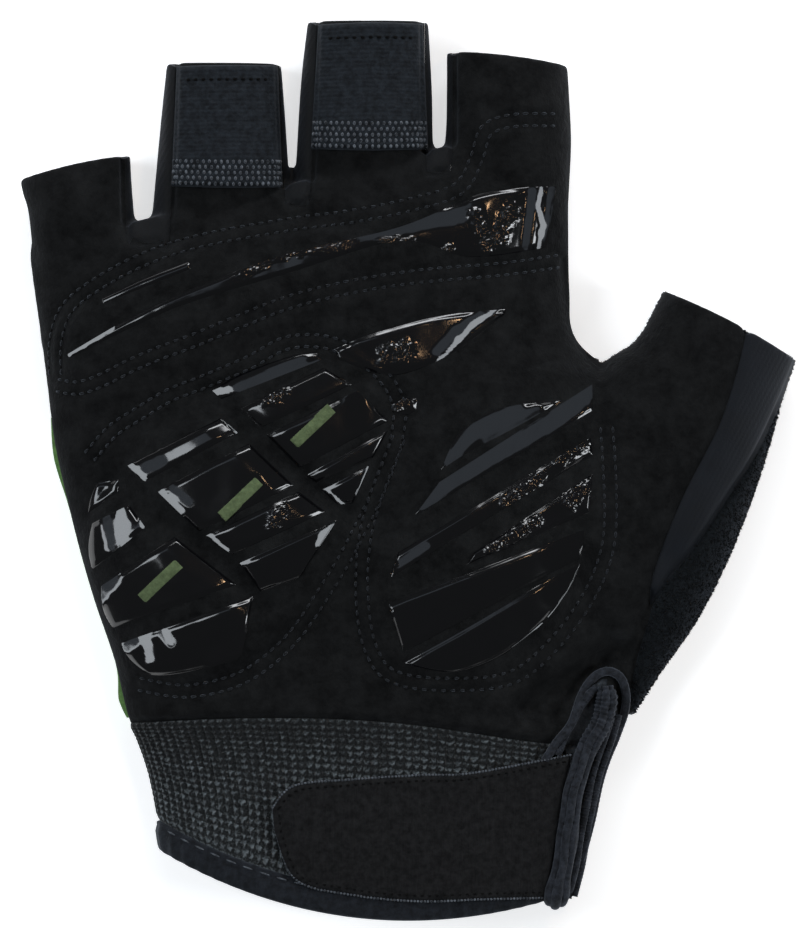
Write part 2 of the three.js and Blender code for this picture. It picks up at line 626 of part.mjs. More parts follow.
// Round cord laid on the glove along a route
function cord(route, radius, steps) {
  const spots = smoothLine(route, steps);
  const curve = new THREE.CatmullRomCurve3(
    spots.map((spot) => new THREE.Vector3(spot.x, spot.y, cordHeight(spot, radius))),
  );
  const section = new THREE.Shape();
  for (let k = 0; k < CORD_SIDES; k += 1) {
    const angle = (2 * Math.PI * k) / CORD_SIDES;
    section[k === 0 ? 'moveTo' : 'lineTo'](radius * Math.cos(angle), radius * Math.sin(angle));
  }
  section.closePath();
  return solidOf(new THREE.ExtrudeGeometry(section, { steps, bevelEnabled: false, extrudePath: curve }));
}

// Finishes
const finish = (color, roughness) => new THREE.MeshStandardMaterial({ color, roughness, metalness: 0 });
const suede = finish(0x141416, 0.95);
const stretch = finish(0x1b1e25, 0.8);
const terry = finish(0x1a1d24, 1);
const knit = finish(0x2b2d31, 0.95);
const green = finish(0x6c9648, 0.9);
const webbing = finish(0x23272f, 0.85);
const gloss = finish(0x08090a, 0.15);
const binding = finish(0x12141a, 0.85);

// Assembly
const glove = new THREE.Group();
function addPiece(name, solid, material) {
  const piece = new THREE.Mesh(geometryOf(solid), material);
  piece.name = name;
  glove.add(piece);
}

addPiece('palm_panel', makePalmPanel(), suede);
addPiece('back_panel', makeBackPanel(), stretch);
addPiece('side_trim', makeTrim(), green);
for (const [name, outline] of Object.entries(FOURCHETTES)) {
  addPiece(`fourchette_${name}`, hand.intersect(column(outline.map(plan), -halfGap)), stretch);
}
addPiece('thumb_stretch_panel',
  fingersOpen.intersect(upperHalf).intersect(column(stretchOutline, -halfGap)), stretch);
addPiece('thumb_terry_panel', makeTerryPanel(), terry);

const cuffBand = shell.intersect(column(belowCuffLine, -halfGap));
addPiece('cuff_knit', cuffBand.subtract(column(belowHemLine, halfGap)).subtract(slitColumn), knit);
addPiece('cuff_hem', hemBand.subtract(hollow), binding);
addPiece('wrist_strap', laidPiece(STRAP.upper, STRAP.lower,
  { along: 14, across: 4, thickness: STRAP_THICKNESS }), binding);
addPiece('slit_piping', cord(PIPING_ROUTE, PIPING_RADIUS, 26), binding);
addPiece('slit_roll', cord(ROLL_ROUTE, ROLL_RADIUS, 16), binding);

for (const [finger, tab] of Object.entries(TABS)) {
  addPiece(`pull_tab_${finger}`, laidPiece(tab.upper, tab.lower,
    { along: 8, across: 6, thickness: TAB_THICKNESS, lift: TAB_LIFT }), webbing);
}
for (const [name, print] of Object.entries(CURVED_PRINTS)) {
  const along = 3 * print.upper.length;
  addPiece(`print_${name}`, laidPiece(print.upper, print.lower,
    { along, across: 2, thickness: PRINT_THICKNESS }), gloss);
}
for (const [name, stripe] of Object.entries(STRIPES)) {
  addPiece(`print_${name}`, laidPiece(stripe.upper, stripe.lower,
    { along: 5, across: 2, thickness: PRINT_THICKNESS, rise: stripe.rise, fall: stripe.fall }), gloss);
}

// The origin goes under the middle of the outline
const box = new THREE.Box3().setFromObject(glove);
glove.position.set(-(box.min.x + box.max.x) / 2, -(box.min.y + box.max.y) / 2, -box.min.z);

export default glove;
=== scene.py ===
"""Short-finger cycling glove for the right hand, lying on its back with the palm up.

+X is the thumb side, +Y points along the fingers and +Z is up. Lengths are in metres.
"""
import math
from collections import namedtuple

import bmesh
import bpy
import numpy as np
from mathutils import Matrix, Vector, noise
from mathutils.bvhtree import BVHTree
from mathutils.geometry import tessellate_polygon


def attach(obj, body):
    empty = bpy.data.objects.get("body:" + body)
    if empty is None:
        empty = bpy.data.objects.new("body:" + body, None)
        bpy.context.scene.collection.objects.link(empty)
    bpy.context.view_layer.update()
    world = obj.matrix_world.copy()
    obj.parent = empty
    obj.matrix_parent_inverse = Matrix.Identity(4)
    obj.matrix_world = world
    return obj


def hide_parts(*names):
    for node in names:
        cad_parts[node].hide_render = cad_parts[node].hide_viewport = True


bl_info = {
    "name": "Short-finger cycling glove",
    "version": (1, 0, 0),
    "blender": (4, 5, 0),
    "location": "View3D > Sidebar > Glove",
    "description": "Dresses the glove's frame in suede, knit, webbing and glossy grip prints",
    "category": "Object",
}

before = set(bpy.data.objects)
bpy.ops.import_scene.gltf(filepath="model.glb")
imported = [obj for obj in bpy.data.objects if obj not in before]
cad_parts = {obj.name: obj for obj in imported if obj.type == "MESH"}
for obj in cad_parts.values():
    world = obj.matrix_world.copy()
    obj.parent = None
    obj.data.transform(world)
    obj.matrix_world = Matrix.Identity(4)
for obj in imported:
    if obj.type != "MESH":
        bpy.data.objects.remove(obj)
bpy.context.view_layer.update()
MM = 0.001

# Sizes that the glove is cut to
GLOVE_LENGTH = 162.7 * MM
PALM_WIDTH = 97.4 * MM
PALM_DEPTH = 19.5 * MM
FINGER_DEPTH = 15.5 * MM
THUMB_DEPTH = 18 * MM
SEAM_HEIGHT = 7 * MM
BACK_CORNER = 8 * MM
WALL = 1.4 * MM
SEAM_GAP = 0.03 * MM
HEM_HEIGHT = 5.2 * MM
HEM_PROUD = 0.5 * MM
CROWN_POWER = 2.6
PLAN_SHIFT = Vector((-0.0016 * MM, -0.3015 * MM))  # of the tables' middle in the frame

# The photograph's pixels, for places that are read from it
PIXEL = 0.18 * MM
PHOTO_MIDDLE = (408, 472)
PHOTO_CENTRE = (400, 464)
PHOTO_HEIGHT = 928


def by_photo(*pixels):
    """Shares of the palm width and of the length from pixels of the photograph"""
    place = (np.array(pixels, float) - PHOTO_MIDDLE) * (PIXEL / PALM_WIDTH, -PIXEL / GLOVE_LENGTH)
    return [tuple(point) for point in place]


# Rows across each tube, from the wrist or the base to the open end: plan points of both
# side seams and the sag as shares of palm width and length, and the share of the depth
Row = namedtuple("Row", "left right sag depth")
PALM_ROWS = [
    Row((-0.453, -0.42), (0.296, -0.466), 0.049, 0.84),
    Row((-0.464, -0.379), (0.333, -0.402), 0.035, 0.84),
    Row((-0.479, -0.335), (0.355, -0.352), 0.02, 0.84),
    Row((-0.499, -0.299), (0.377, -0.31), 0.008, 0.85),
    Row((-0.521, -0.268), (0.392, -0.27), 0, 0.88),
    Row((-0.545, -0.208), (0.414, -0.212), 0, 0.93),
    Row((-0.582, -0.142), (0.421, -0.142), 0, 0.97),
    Row((-0.61, -0.084), (0.42, -0.081), 0, 1),
    Row((-0.636, -0.021), (0.429, -0.02), 0, 1),
    Row((-0.656, 0.035), (0.447, 0.039), 0, 1),
    Row((-0.669, 0.097), (0.41, 0.095), 0, 1),
    Row((-0.678, 0.14), (0.314, 0.146), 0, 0.99),
    Row((-0.688, 0.181), (0.301, 0.201), 0, 0.97),
    Row((-0.697, 0.218), (0.299, 0.284), 0, 0.92),
    Row((-0.701, 0.237), (0.298, 0.356), 0, 0.84),
    Row((-0.701, 0.248), (0.298, 0.393), 0, 0.74),
]
THUMB_ROWS = [
    Row((0.133, -0.241), (0.418, -0.27), 0, 0.5),
    Row((0.17, -0.158), (0.473, -0.219), 0, 0.7),
    Row((0.216, -0.081), (0.534, -0.166), 0, 0.86),
    Row((0.262, -0.003), (0.593, -0.097), 0, 0.96),
    Row((0.311, 0.071), (0.643, -0.02), 0, 1),
    Row((0.362, 0.121), (0.675, 0.041), 0, 1),
    Row((0.423, 0.148), (0.697, 0.086), 0, 0.97),
    Row((0.471, 0.201), (0.719, 0.123), -0.004, 0.92),
]
FINGER_ROWS = {
    "little": [
        Row((-0.68, 0.14), (-0.49, 0.17), 0, 0.5),
        Row((-0.69, 0.21), (-0.497, 0.232), 0, 0.84),
        Row((-0.702, 0.284), (-0.505, 0.285), 0, 0.96),
        Row((-0.712, 0.306), (-0.51, 0.325), 0, 0.92),
        Row((-0.719, 0.323), (-0.512, 0.351), -0.003, 0.88),
    ],
    "ring": [
        Row((-0.485, 0.16), (-0.206, 0.19), 0, 0.5),
        Row((-0.481, 0.24), (-0.21, 0.26), 0, 0.9),
        Row((-0.471, 0.305), (-0.218, 0.326), 0, 1),
        Row((-0.458, 0.389), (-0.226, 0.398), 0, 0.96),
        Row((-0.447, 0.452), (-0.233, 0.451), 0, 0.92),
    ],
    "middle": [
        Row((-0.218, 0.19), (0.06, 0.22), 0, 0.5),
        Row((-0.212, 0.28), (0.056, 0.3), 0, 0.9),
        Row((-0.207, 0.356), (0.048, 0.361), 0, 1),
        Row((-0.199, 0.434), (0.046, 0.423), 0, 0.97),
        Row((-0.187, 0.498), (0.039, 0.498), 0, 0.93),
    ],
    "index": [
        Row((0.045, 0.22), (0.296, 0.22), 0, 0.5),
        Row((0.05, 0.3), (0.299, 0.3), 0, 0.86),
        Row((0.067, 0.367), (0.303, 0.364), 0, 1),
        Row((0.07, 0.42), (0.299, 0.42), 0, 0.97),
        Row((0.07, 0.465), (0.296, 0.449), -0.003, 0.93),
    ],
}

# Gel pads under the suede: centre and reaches as shares, turn in degrees from +X
GelPad = namedtuple("GelPad", "centre along across turn")
GEL_PADS = [
    GelPad((-0.32, -0.059), 0.37, 0.225, 42),
    GelPad((0.155, -0.062), 0.35, 0.195, 56),
]
GEL_RISE = 2.4 * MM
RIDGE_ROUTE = [(-0.616, 0.115), (-0.384, 0.19), (0.022, 0.262), (0.244, 0.301)]
RIDGE_REACH = 0.1 * PALM_WIDTH
RIDGE_RISE = 1.1 * MM

# Seams of the panels in plan, as shares
CUFF_LINE = [(-0.643, -0.283), (-0.505, -0.277), (-0.264, -0.271), (-0.015, -0.277), (0.253, -0.299),
             (0.54, -0.313)]
STRETCH_INNER = [(0.628, 0.19), (0.621, 0.149), (0.577, 0.058), (0.503, -0.031), (0.451, -0.114),
                 (0.447, -0.147)]
STRETCH_OUTER = by_photo((802, 350), (793, 376), (779, 408), (756, 454), (727, 498), (691, 551),
                         (669, 577)) + [(0.451, -0.147)]
TERRY_TAIL = [(0.438, -0.175), (0.418, -0.217), (0.409, -0.252), (0.429, -0.285)]
TERRY_BACK = [(0.355, 0.157), (0.333, 0.058), (0.34, -0.053), (0.373, -0.153), (0.418, -0.217),
              (0.409, -0.252), (0.429, -0.285)]
TRIM_EDGE = [(-0.75, 0.06), (-0.617, 0.06), (-0.573, -0.053), (-0.532, -0.142), (-0.477, -0.272),
             (-0.6, -0.272)]
FOURCHETTES = {
    "little_ring": [(-0.525, 0.6), (-0.52, 0.282), (-0.504, 0.259), (-0.48, 0.252), (-0.455, 0.256),
                    (-0.438, 0.274), (-0.425, 0.6)],
    "ring_middle": [(-0.244, 0.6), (-0.229, 0.323), (-0.216, 0.296), (-0.196, 0.296), (-0.179, 0.321),
                    (-0.166, 0.6)],
    "middle_index": [(0.03, 0.6), (0.033, 0.354), (0.046, 0.332), (0.067, 0.332), (0.081, 0.356),
                     (0.081, 0.6)],
}
SLIT = [(0.274, -0.308), (0.301, -0.279), (0.322, -0.243), (0.348, -0.229), (0.368, -0.228),
        (0.364, -0.252), (0.355, -0.277), (0.333, -0.299), (0.311, -0.319)]
PIPING_ROUTE = [(0.252, -0.318), (0.275, -0.297), (0.301, -0.277), (0.32, -0.246), (0.342, -0.227),
                (0.368, -0.22), (0.392, -0.227), (0.402, -0.245), (0.4, -0.265), (0.385, -0.291),
                (0.366, -0.318), (0.352, -0.345), (0.338, -0.385), (0.318, -0.43), (0.302, -0.462)]
ROLL_ROUTE = [(0.364, -0.236), (0.366, -0.253), (0.356, -0.277), (0.338, -0.296), (0.323, -0.315),
              (0.311, -0.338), (0.301, -0.363), (0.29, -0.418), (0.27, -0.476)]
PLEAT_ROUTES = [
    by_photo((556, 754), (571, 722), (586, 697), (597, 686)),
    by_photo((611, 716), (600, 748), (590, 782), (583, 820), (576, 860), (568, 898)),
    by_photo((618, 714), (608, 748), (597, 782), (589, 820), (582, 860), (574, 896)),
]
PLEAT_LIFTS = (0, 0.5 * MM, 0.7 * MM)

# Flat pieces laid on the glove, between an upper and a lower edge from left to right, with how
# far the edges swell and the left end bows out
Laid = namedtuple("Laid", "upper lower rise fall bow", defaults=(0, 0, 0))
SLIT_FACING = Laid(
    [(0.28, -0.3), (0.301, -0.279), (0.322, -0.243), (0.348, -0.225), (0.38, -0.228)],
    [(0.3, -0.32), (0.33, -0.31), (0.36, -0.29), (0.385, -0.265), (0.392, -0.24)])

STRAP = Laid(
    [(-0.251, -0.369), (-0.211, -0.344), (-0.109, -0.337), (0.022, -0.332), (0.115, -0.33), (0.302, -0.31)],
    [(-0.246, -0.397), (-0.207, -0.45), (-0.102, -0.467), (0.022, -0.474), (0.133, -0.472),
     (0.254, -0.471)],
)
TABS = {
    "ring": Laid([(-0.427, 0.448), (-0.334, 0.449), (-0.24, 0.449)],
                 [(-0.436, 0.315), (-0.334, 0.313), (-0.231, 0.314)]),
    "middle": Laid([(-0.166, 0.494), (-0.069, 0.496), (0.028, 0.495)],
                   [(-0.179, 0.356), (-0.071, 0.354), (0.037, 0.356)]),
}
PRINTS = {
    "swoosh_thin": Laid([(-0.564, 0.191), (-0.486, 0.213), (-0.401, 0.232)],
                        [(-0.562, 0.184), (-0.481, 0.204), (-0.399, 0.223)]),
    "swoosh_long": Laid(
        [(-0.628, 0.131), (-0.514, 0.17), (-0.405, 0.201), (-0.222, 0.241), (-0.015, 0.271),
         (0.14, 0.308), (0.274, 0.316)],
        [(-0.625, 0.124), (-0.514, 0.156), (-0.405, 0.184), (-0.222, 0.217), (-0.015, 0.253),
         (0.115, 0.236), (0.255, 0.247)]),
    "fin": Laid([(-0.137, 0.136), (-0.063, 0.154), (0.061, 0.173), (0.183, 0.181)],
                [(-0.126, 0.122), (-0.024, 0.106), (0.087, 0.132), (0.176, 0.172)]),
    "spark": Laid([(-0.031, 0.075), (-0.006, 0.081), (0.018, 0.081)],
                  [(-0.028, 0.066), (-0.006, 0.062), (0.015, 0.067)]),
    "outer_high_1": Laid(by_photo((213, 391), (318, 353)), by_photo((222, 400), (322, 361)), 0.008),
    "outer_high_2": Laid([(-0.309, 0.07), (-0.155, 0.115)], [(-0.27, 0.048), (-0.102, 0.096)]),
    "outer_high_3": Laid([(-0.261, 0.041), (-0.094, 0.09)], [(-0.2, 0.004), (-0.035, 0.056)]),
    "outer_high_4": Laid([(-0.19, -0.003), (-0.035, 0.047)], [(-0.168, -0.013), (-0.065, 0.015)]),
    "outer_high_5": Laid([(-0.161, -0.019), (-0.07, 0.008)], [(-0.128, -0.037), (-0.102, -0.035)]),
    "outer_mid_1": Laid([(-0.518, 0.007), (-0.344, 0.06)], [(-0.484, -0.011), (-0.311, 0.043)]),
    "outer_mid_2": Laid([(-0.462, -0.021), (-0.292, 0.032)], [(-0.384, -0.066), (-0.209, -0.015)]),
    "outer_mid_3": Laid([(-0.373, -0.07), (-0.201, -0.021)], [(-0.323, -0.091), (-0.15, -0.044)]),
    "outer_mid_4": Laid([(-0.311, -0.099), (-0.129, -0.052)], [(-0.27, -0.133), (-0.2, -0.117)]),
    "outer_low_1": Laid([(-0.573, -0.011), (-0.532, -0.007)], [(-0.59, -0.046), (-0.534, -0.023)],
                        bow=0.5 * MM),
    "outer_low_2": Laid([(-0.582, -0.056), (-0.514, -0.035)], [(-0.582, -0.108), (-0.481, -0.062)],
                        bow=0.9 * MM),
    "outer_low_3": Laid([(-0.565, -0.124), (-0.429, -0.071)], [(-0.543, -0.173), (-0.314, -0.124)],
                        bow=1 * MM),
    "outer_low_4": Laid([(-0.53, -0.188), (-0.283, -0.136)], [(-0.473, -0.224), (-0.305, -0.202)],
                        fall=0.006, bow=1 * MM),
    "thumb_pad_1": Laid(by_photo((440, 469), (458, 434), (495, 410), (520, 404), (562, 400)),
                        by_photo((441, 471), (470, 452), (500, 436), (530, 420), (563, 402))),
    "thumb_pad_2": Laid([(0.057, -0.011), (0.34, 0.098)], [(0.011, -0.048), (0.34, 0.067)]),
    "thumb_pad_3": Laid([(-0.018, -0.088), (0.336, 0.039)], [(-0.035, -0.117), (0.34, 0.018)]),
    "thumb_pad_4": Laid([(0.122, -0.087), (0.34, -0.001)], [(0.107, -0.103), (0.333, -0.045)]),
    "thumb_pad_5": Laid([(-0.037, -0.144), (0.325, -0.062)], [(-0.009, -0.199), (0.318, -0.095)]),
    "thumb_pad_6": Laid(by_photo((404, 661), (455, 632), (536, 585), (579, 562)),
                        by_photo((406, 664), (448, 672), (482, 664), (512, 648), (545, 620), (568, 590),
                                 (580, 564))),
}

# Plain green bars on the blocks of the outer pad
GREEN_BARS = {
    "low": Laid(by_photo((138, 594), (176, 558)), by_photo((147, 603), (185, 567))),
    "mid": Laid(by_photo((218, 512), (256, 476)), by_photo((227, 521), (265, 485))),
    "high": Laid(by_photo((290, 440), (328, 404)), by_photo((299, 449), (337, 413))),
}

# Rows of stitches on the palm side, by pixels of the photograph. Each is sewn twice, side by side.
PALM_STITCHES = {
    "ridge_upper": [(56, 372), (56, 345), (63, 318), (76, 301), (98, 285), (132, 266), (172, 250),
                    (220, 238), (295, 225), (350, 218), (410, 206), (458, 190), (476, 160), (486, 132),
                    (512, 122), (552, 121)],
    "ridge_lower": [(60, 386), (80, 388), (104, 380), (130, 367), (160, 354), (195, 341), (236, 324),
                    (290, 303), (350, 288), (420, 277), (500, 270), (556, 262)],
    "outer_pad": [(92, 455), (115, 430), (140, 414), (170, 396), (205, 382), (250, 363), (290, 343),
                  (335, 345), (375, 368), (398, 402), (396, 440), (380, 486), (352, 545), (324, 592),
                  (290, 640), (244, 676), (190, 690), (142, 684)],
    "thumb_pad": [(398, 440), (378, 490), (364, 545), (363, 605), (372, 650), (395, 676), (450, 683),
                  (512, 676), (556, 640), (590, 592), (607, 545), (609, 490), (606, 430)],
}
ROW_SPACING = 2.2 * MM

# Creases of the palm side by pixels of the photograph, with reach and dip
Crease = namedtuple("Crease", "route reach dip")
CREASES = [
    Crease([(530, 708), (578, 672), (616, 648)], 2.9 * MM, 3.0 * MM),
    Crease([(556, 716), (578, 690), (600, 662)], 1.5 * MM, 1.6 * MM),
    Crease([(625, 652), (640, 622), (652, 596)], 1.0 * MM, 0.9 * MM),
    Crease([(632, 668), (650, 610), (664, 560)], 3 * MM, 0.7 * MM),
    Crease([(564, 262), (566, 296), (574, 334), (590, 356)], 0.9 * MM, 0.9 * MM),
    Crease([(588, 362), (610, 366), (640, 352)], 2.2 * MM, 0.7 * MM),
    Crease([(660, 540), (625, 500), (612, 440)], 5 * MM, 0.7 * MM),
    Crease([(590, 361), (577, 385), (560, 400)], 3.2 * MM, 1 * MM),
    Crease([(212, 398), (252, 436), (298, 480), (348, 515)], 3.4 * MM, 1.9 * MM),
    Crease([(112, 486), (172, 524), (229, 572), (263, 600)], 3.4 * MM, 1.9 * MM),
    Crease([(396, 400), (400, 450), (372, 520), (345, 600), (330, 690)], 4.5 * MM, 0.9 * MM),
    Crease([(150, 235), (200, 226), (290, 213)], 3 * MM, 0.6 * MM),
    Crease([(290, 180), (300, 215), (330, 222)], 2.4 * MM, 0.8 * MM),
    Crease([(436, 150), (442, 190), (455, 205)], 2.4 * MM, 0.8 * MM),
    Crease([(146, 222), (158, 236), (190, 238)], 2.4 * MM, 0.7 * MM),
]

# Strokes along which the prints catch a lamp: reach to each side and route, in pixels of the
# photograph. Broad warm strokes have a crackled skin. Calm strokes face straight up and stay dark.
GLINTS = {
    "calm": [
        (13, (556, 556), (576, 532)), (13, (556, 592), (576, 572)), (12, (356, 402), (358, 418)),
        (5, (256, 478), (268, 494)), (7, (300, 640), (330, 600)), (9, (250, 640), (215, 655)),
    ],
    "veil": [
        (8, (338, 239), (380, 231), (420, 224), (460, 216)), (5, (532, 192), (525, 248)),
        (5, (551, 190), (546, 244)), (5, (437, 352), (455, 332), (480, 316)),
        (7, (240, 388), (268, 377), (302, 364)), (7, (148, 468), (162, 462)), (6, (108, 518), (113, 546)),
        (8, (96, 600), (114, 578)), (6, (128, 646), (136, 640)), (5, (164, 632), (172, 642)),
        (5, (174, 488), (190, 502)), (8, (450, 460), (476, 428), (516, 411)), (6, (486, 440), (536, 412)),
        (11, (424, 503), (452, 479), (502, 451), (550, 424), (588, 392)), (5, (400, 564), (426, 545)),
        (3, (262, 384), (318, 362)),
    ],
    "cool": [
        (3, (71, 354), (92, 342), (114, 328)), (3.2, (541, 187), (538, 208), (542, 226), (538, 248)),
        (3, (438, 363), (458, 341), (472, 326), (495, 310)), (4, (214, 394), (228, 391)),
        (2.5, (240, 411), (260, 428)), (3.5, (130, 464), (146, 479)), (2, (150, 450), (160, 446)),
        (6, (122, 510), (127, 543)), (3, (140, 506), (144, 526)), (6, (145, 630), (151, 658)),
        (2, (166, 630), (172, 642)), (5, (164, 493), (182, 511)), (2.5, (207, 531), (229, 551)),
        (3, (241, 563), (248, 561)), (6, (321, 540), (334, 527)), (2.5, (371, 462), (364, 480), (357, 494)),
        (2, (322, 485), (345, 505)), (2, (324, 362), (349, 381)), (2, (223, 417), (238, 433)),
        (1.2, (580, 564), (568, 590), (545, 620), (512, 646)),
    ],
    "warm": [
        (4, (262, 262), (296, 254)), (6, (300, 252), (330, 247), (350, 244)), (3, (380, 242), (412, 241)),
        (5, (244, 272), (262, 268)), (7, (476, 216), (482, 232)), (7, (486, 248), (500, 236), (514, 208)),
        (4, (436, 254), (450, 249)), (8, (384, 356), (406, 350)), (5, (398, 406), (406, 402)),
        (5, (268, 402), (284, 392)), (6, (274, 524), (282, 510)), (6, (507, 503), (540, 478)),
        (6, (556, 462), (581, 444)), (7, (568, 500), (584, 490)), (5, (492, 548), (536, 521)),
        (4, (392, 557), (388, 578)), (4, (387, 608), (390, 630)),
        (1.7, (300, 251), (322, 247), (345, 243)), (1.7, (383, 241), (412, 241)),
        (1.9, (510, 500), (524, 492), (546, 474)), (1.9, (556, 464), (580, 446)),
    ],
}

GLINT_RAGGED = {"calm": 0, "veil": 0.15, "cool": 0.6, "warm": 0.7}  # how ragged the strokes' edges are

SMOOTH_REACH = 2  # warm strokes up to this reach keep a smooth skin

# Fineness of the meshes
PALM_VOXEL = 0.5 * MM
BACK_VOXEL = 0.9 * MM
HOLLOW_VOXEL = 1.3 * MM
DOUBLE_REACH = 0.001 * MM

# Spacing of the points of smooth lines
RELIEF_STEP = 3 * MM
THUMB_STEP = 2.5 * MM
SEWN_STEP = 0.4 * MM

WORK = {}  # shapes that the pieces are cut from, kept while the script runs


def plan(shares):
    """Plan points in the frame from shares of the palm width and of the length"""
    return np.atleast_2d(shares) * (PALM_WIDTH, GLOVE_LENGTH) + np.array(PLAN_SHIFT)


def spot(pixels):
    """Plan points in the frame from pixels of the photograph"""
    place = np.atleast_2d(np.array(pixels, float))
    return (place - PHOTO_MIDDLE) * (PIXEL, -PIXEL) + np.array(PLAN_SHIFT)


def unit(vectors):
    """Vectors of length 1"""
    return vectors / np.linalg.norm(vectors, axis=-1, keepdims=True)


def run_along(points):
    """Distance of each point from the first, along the line of points"""
    return np.concatenate([[0], np.cumsum(np.linalg.norm(np.diff(points, axis=0), axis=1))])


def smooth_rows(values, t):
    """Values between the rows of an array at shares t, on a smooth curve through the rows"""
    values = np.asarray(values, float)
    last = len(values) - 1
    place = np.clip(t, 0, 1) * last
    index = np.minimum(place.astype(int), last - 1)
    part = (place - index)[..., None]
    before, start, end, after = (values[np.clip(index + k, 0, last)] for k in (-1, 0, 1, 2))
    square, cube = part**2, part**3
    return ((2 * cube - 3 * square + 1) * start + (cube - 2 * square + part) * (end - before) / 2
            + (3 * square - 2 * cube) * end + (cube - square) * (after - start) / 2)


def smooth_line(points, step):
    """Smooth plan line through points, with a spot every step along it"""
    rough = smooth_rows(points, np.linspace(0, 1, 40 * len(points)))
    run = run_along(rough)
    count = max(2, round(run[-1] / step) + 1)
    at = np.linspace(0, run[-1], count)
    return np.stack([np.interp(at, run, rough[:, k]) for k in range(rough.shape[1])], axis=1)


def away_from(spots, route):
    """Distance of plan spots from a line through plan points"""
    nearest = np.full(len(spots), np.inf)
    for start, end in zip(route[:-1], route[1:]):
        step = end - start
        share = np.clip((spots - start) @ step / (step @ step), 0, 1)
        nearest = np.minimum(nearest, np.linalg.norm(spots - start - share[:, None] * step, axis=1))
    return nearest


def crown(s):
    """Height share of the crowned palm side at s, from -1 to 1 between the side seams"""
    return np.sqrt(np.maximum(0, 1 - np.abs(s) ** CROWN_POWER))


# Shares of the turn round a section at which its palm side, right corner and floor end
CROWN_END, CORNER_END, FLOOR_END = 0.5, 0.58, 0.92


def sections(rows, depth, t, turn, inset=0.0, shift=0.0):
    """Points of a tube's outer face at shares t along it and turn round it"""
    table = [(*row.left, *row.right, row.sag, row.depth) for row in rows]
    value = smooth_rows(table, t)
    left = value[..., 0:2] * (PALM_WIDTH, GLOVE_LENGTH)
    right = value[..., 2:4] * (PALM_WIDTH, GLOVE_LENGTH)
    span = np.linalg.norm(right - left, axis=-1)
    across = (right - left) / span[..., None]
    forward = np.stack([-across[..., 1], across[..., 0]], axis=-1)
    half = span / 2 - inset
    floor = np.maximum(inset, 0)
    corner = np.minimum(BACK_CORNER, half / 2)
    s = -np.cos(np.pi * np.clip(turn / CROWN_END, 0, 1))
    angle = np.pi / 2 * np.clip((turn - CROWN_END) / (CORNER_END - CROWN_END), 0, 1)
    back_angle = np.pi / 2 * np.clip((1 - turn) / (1 - FLOOR_END), 0, 1)
    along_floor = np.clip((turn - CORNER_END) / (FLOOR_END - CORNER_END), 0, 1)
    x = np.where(
        turn <= CROWN_END, s * half,
        np.where(turn <= CORNER_END, half - corner * (1 - np.cos(angle)),
                 np.where(turn < FLOOR_END, (half - corner) * (1 - 2 * along_floor),
                          corner * (1 - np.cos(back_angle)) - half)))
    rise = SEAM_HEIGHT - floor
    z = np.where(
        turn <= CROWN_END, SEAM_HEIGHT + (value[..., 5] * depth - SEAM_HEIGHT - inset) * crown(s),
        np.where(turn <= CORNER_END, SEAM_HEIGHT - rise * np.sin(angle),
                 np.where(turn < FLOOR_END, floor, SEAM_HEIGHT - rise * np.sin(back_angle))))
    ahead = shift - value[..., 4] * GLOVE_LENGTH * (1 - (x / half) ** 2)
    middle = (left + right) / 2 + np.array(PLAN_SHIFT)
    place = middle + across * x[..., None] + forward * ahead[..., None]
    return np.concatenate([place, z[..., None]], axis=-1)


def ring_turns(facets, corner_facets, floor_facets):
    """Shares of the turn round a section, dense where it bends"""
    return np.concatenate([
        np.linspace(0, CROWN_END, facets, endpoint=False),
        np.linspace(CROWN_END, CORNER_END, corner_facets, endpoint=False),
        np.linspace(CORNER_END, FLOOR_END, floor_facets, endpoint=False),
        np.linspace(FLOOR_END, 1, corner_facets, endpoint=False),
    ])


def band_faces(rings, count):
    """Faces between neighbouring closed rings of points"""
    r, i = np.meshgrid(np.arange(rings - 1), np.arange(count), indexing="ij")
    a = r * count + i
    b = r * count + (i + 1) % count
    return np.stack([a, b, b + count, a + count], axis=-1).reshape(-1, 4).tolist()


def loop_faces(rings, count):
    """Faces between closed rings of points, with the last ring joined to the first"""
    last = (rings - 1) * count
    closing = [[last + i, last + (i + 1) % count, (i + 1) % count, i] for i in range(count)]
    return band_faces(rings, count) + closing


def new_piece(name, points, faces):
    """Mesh object at the origin, linked to the scene"""
    mesh = bpy.data.meshes.new(name)
    mesh.from_pydata(np.asarray(points).reshape(-1, 3).tolist(), [], faces)
    mesh.update()
    piece = bpy.data.objects.new(name, mesh)
    bpy.context.scene.collection.objects.link(piece)
    return piece


def drop(*pieces):
    """Takes helper objects out of the scene"""
    for piece in pieces:
        bpy.data.objects.remove(piece, do_unlink=True)


def settle(piece):
    """Turns a piece with its modifiers into a plain mesh"""
    graph = bpy.context.evaluated_depsgraph_get()
    graph.update()
    mesh = bpy.data.meshes.new_from_object(piece.evaluated_get(graph), depsgraph=graph)
    piece.modifiers.clear()
    piece.data = mesh
    mesh.name = piece.name
    return piece


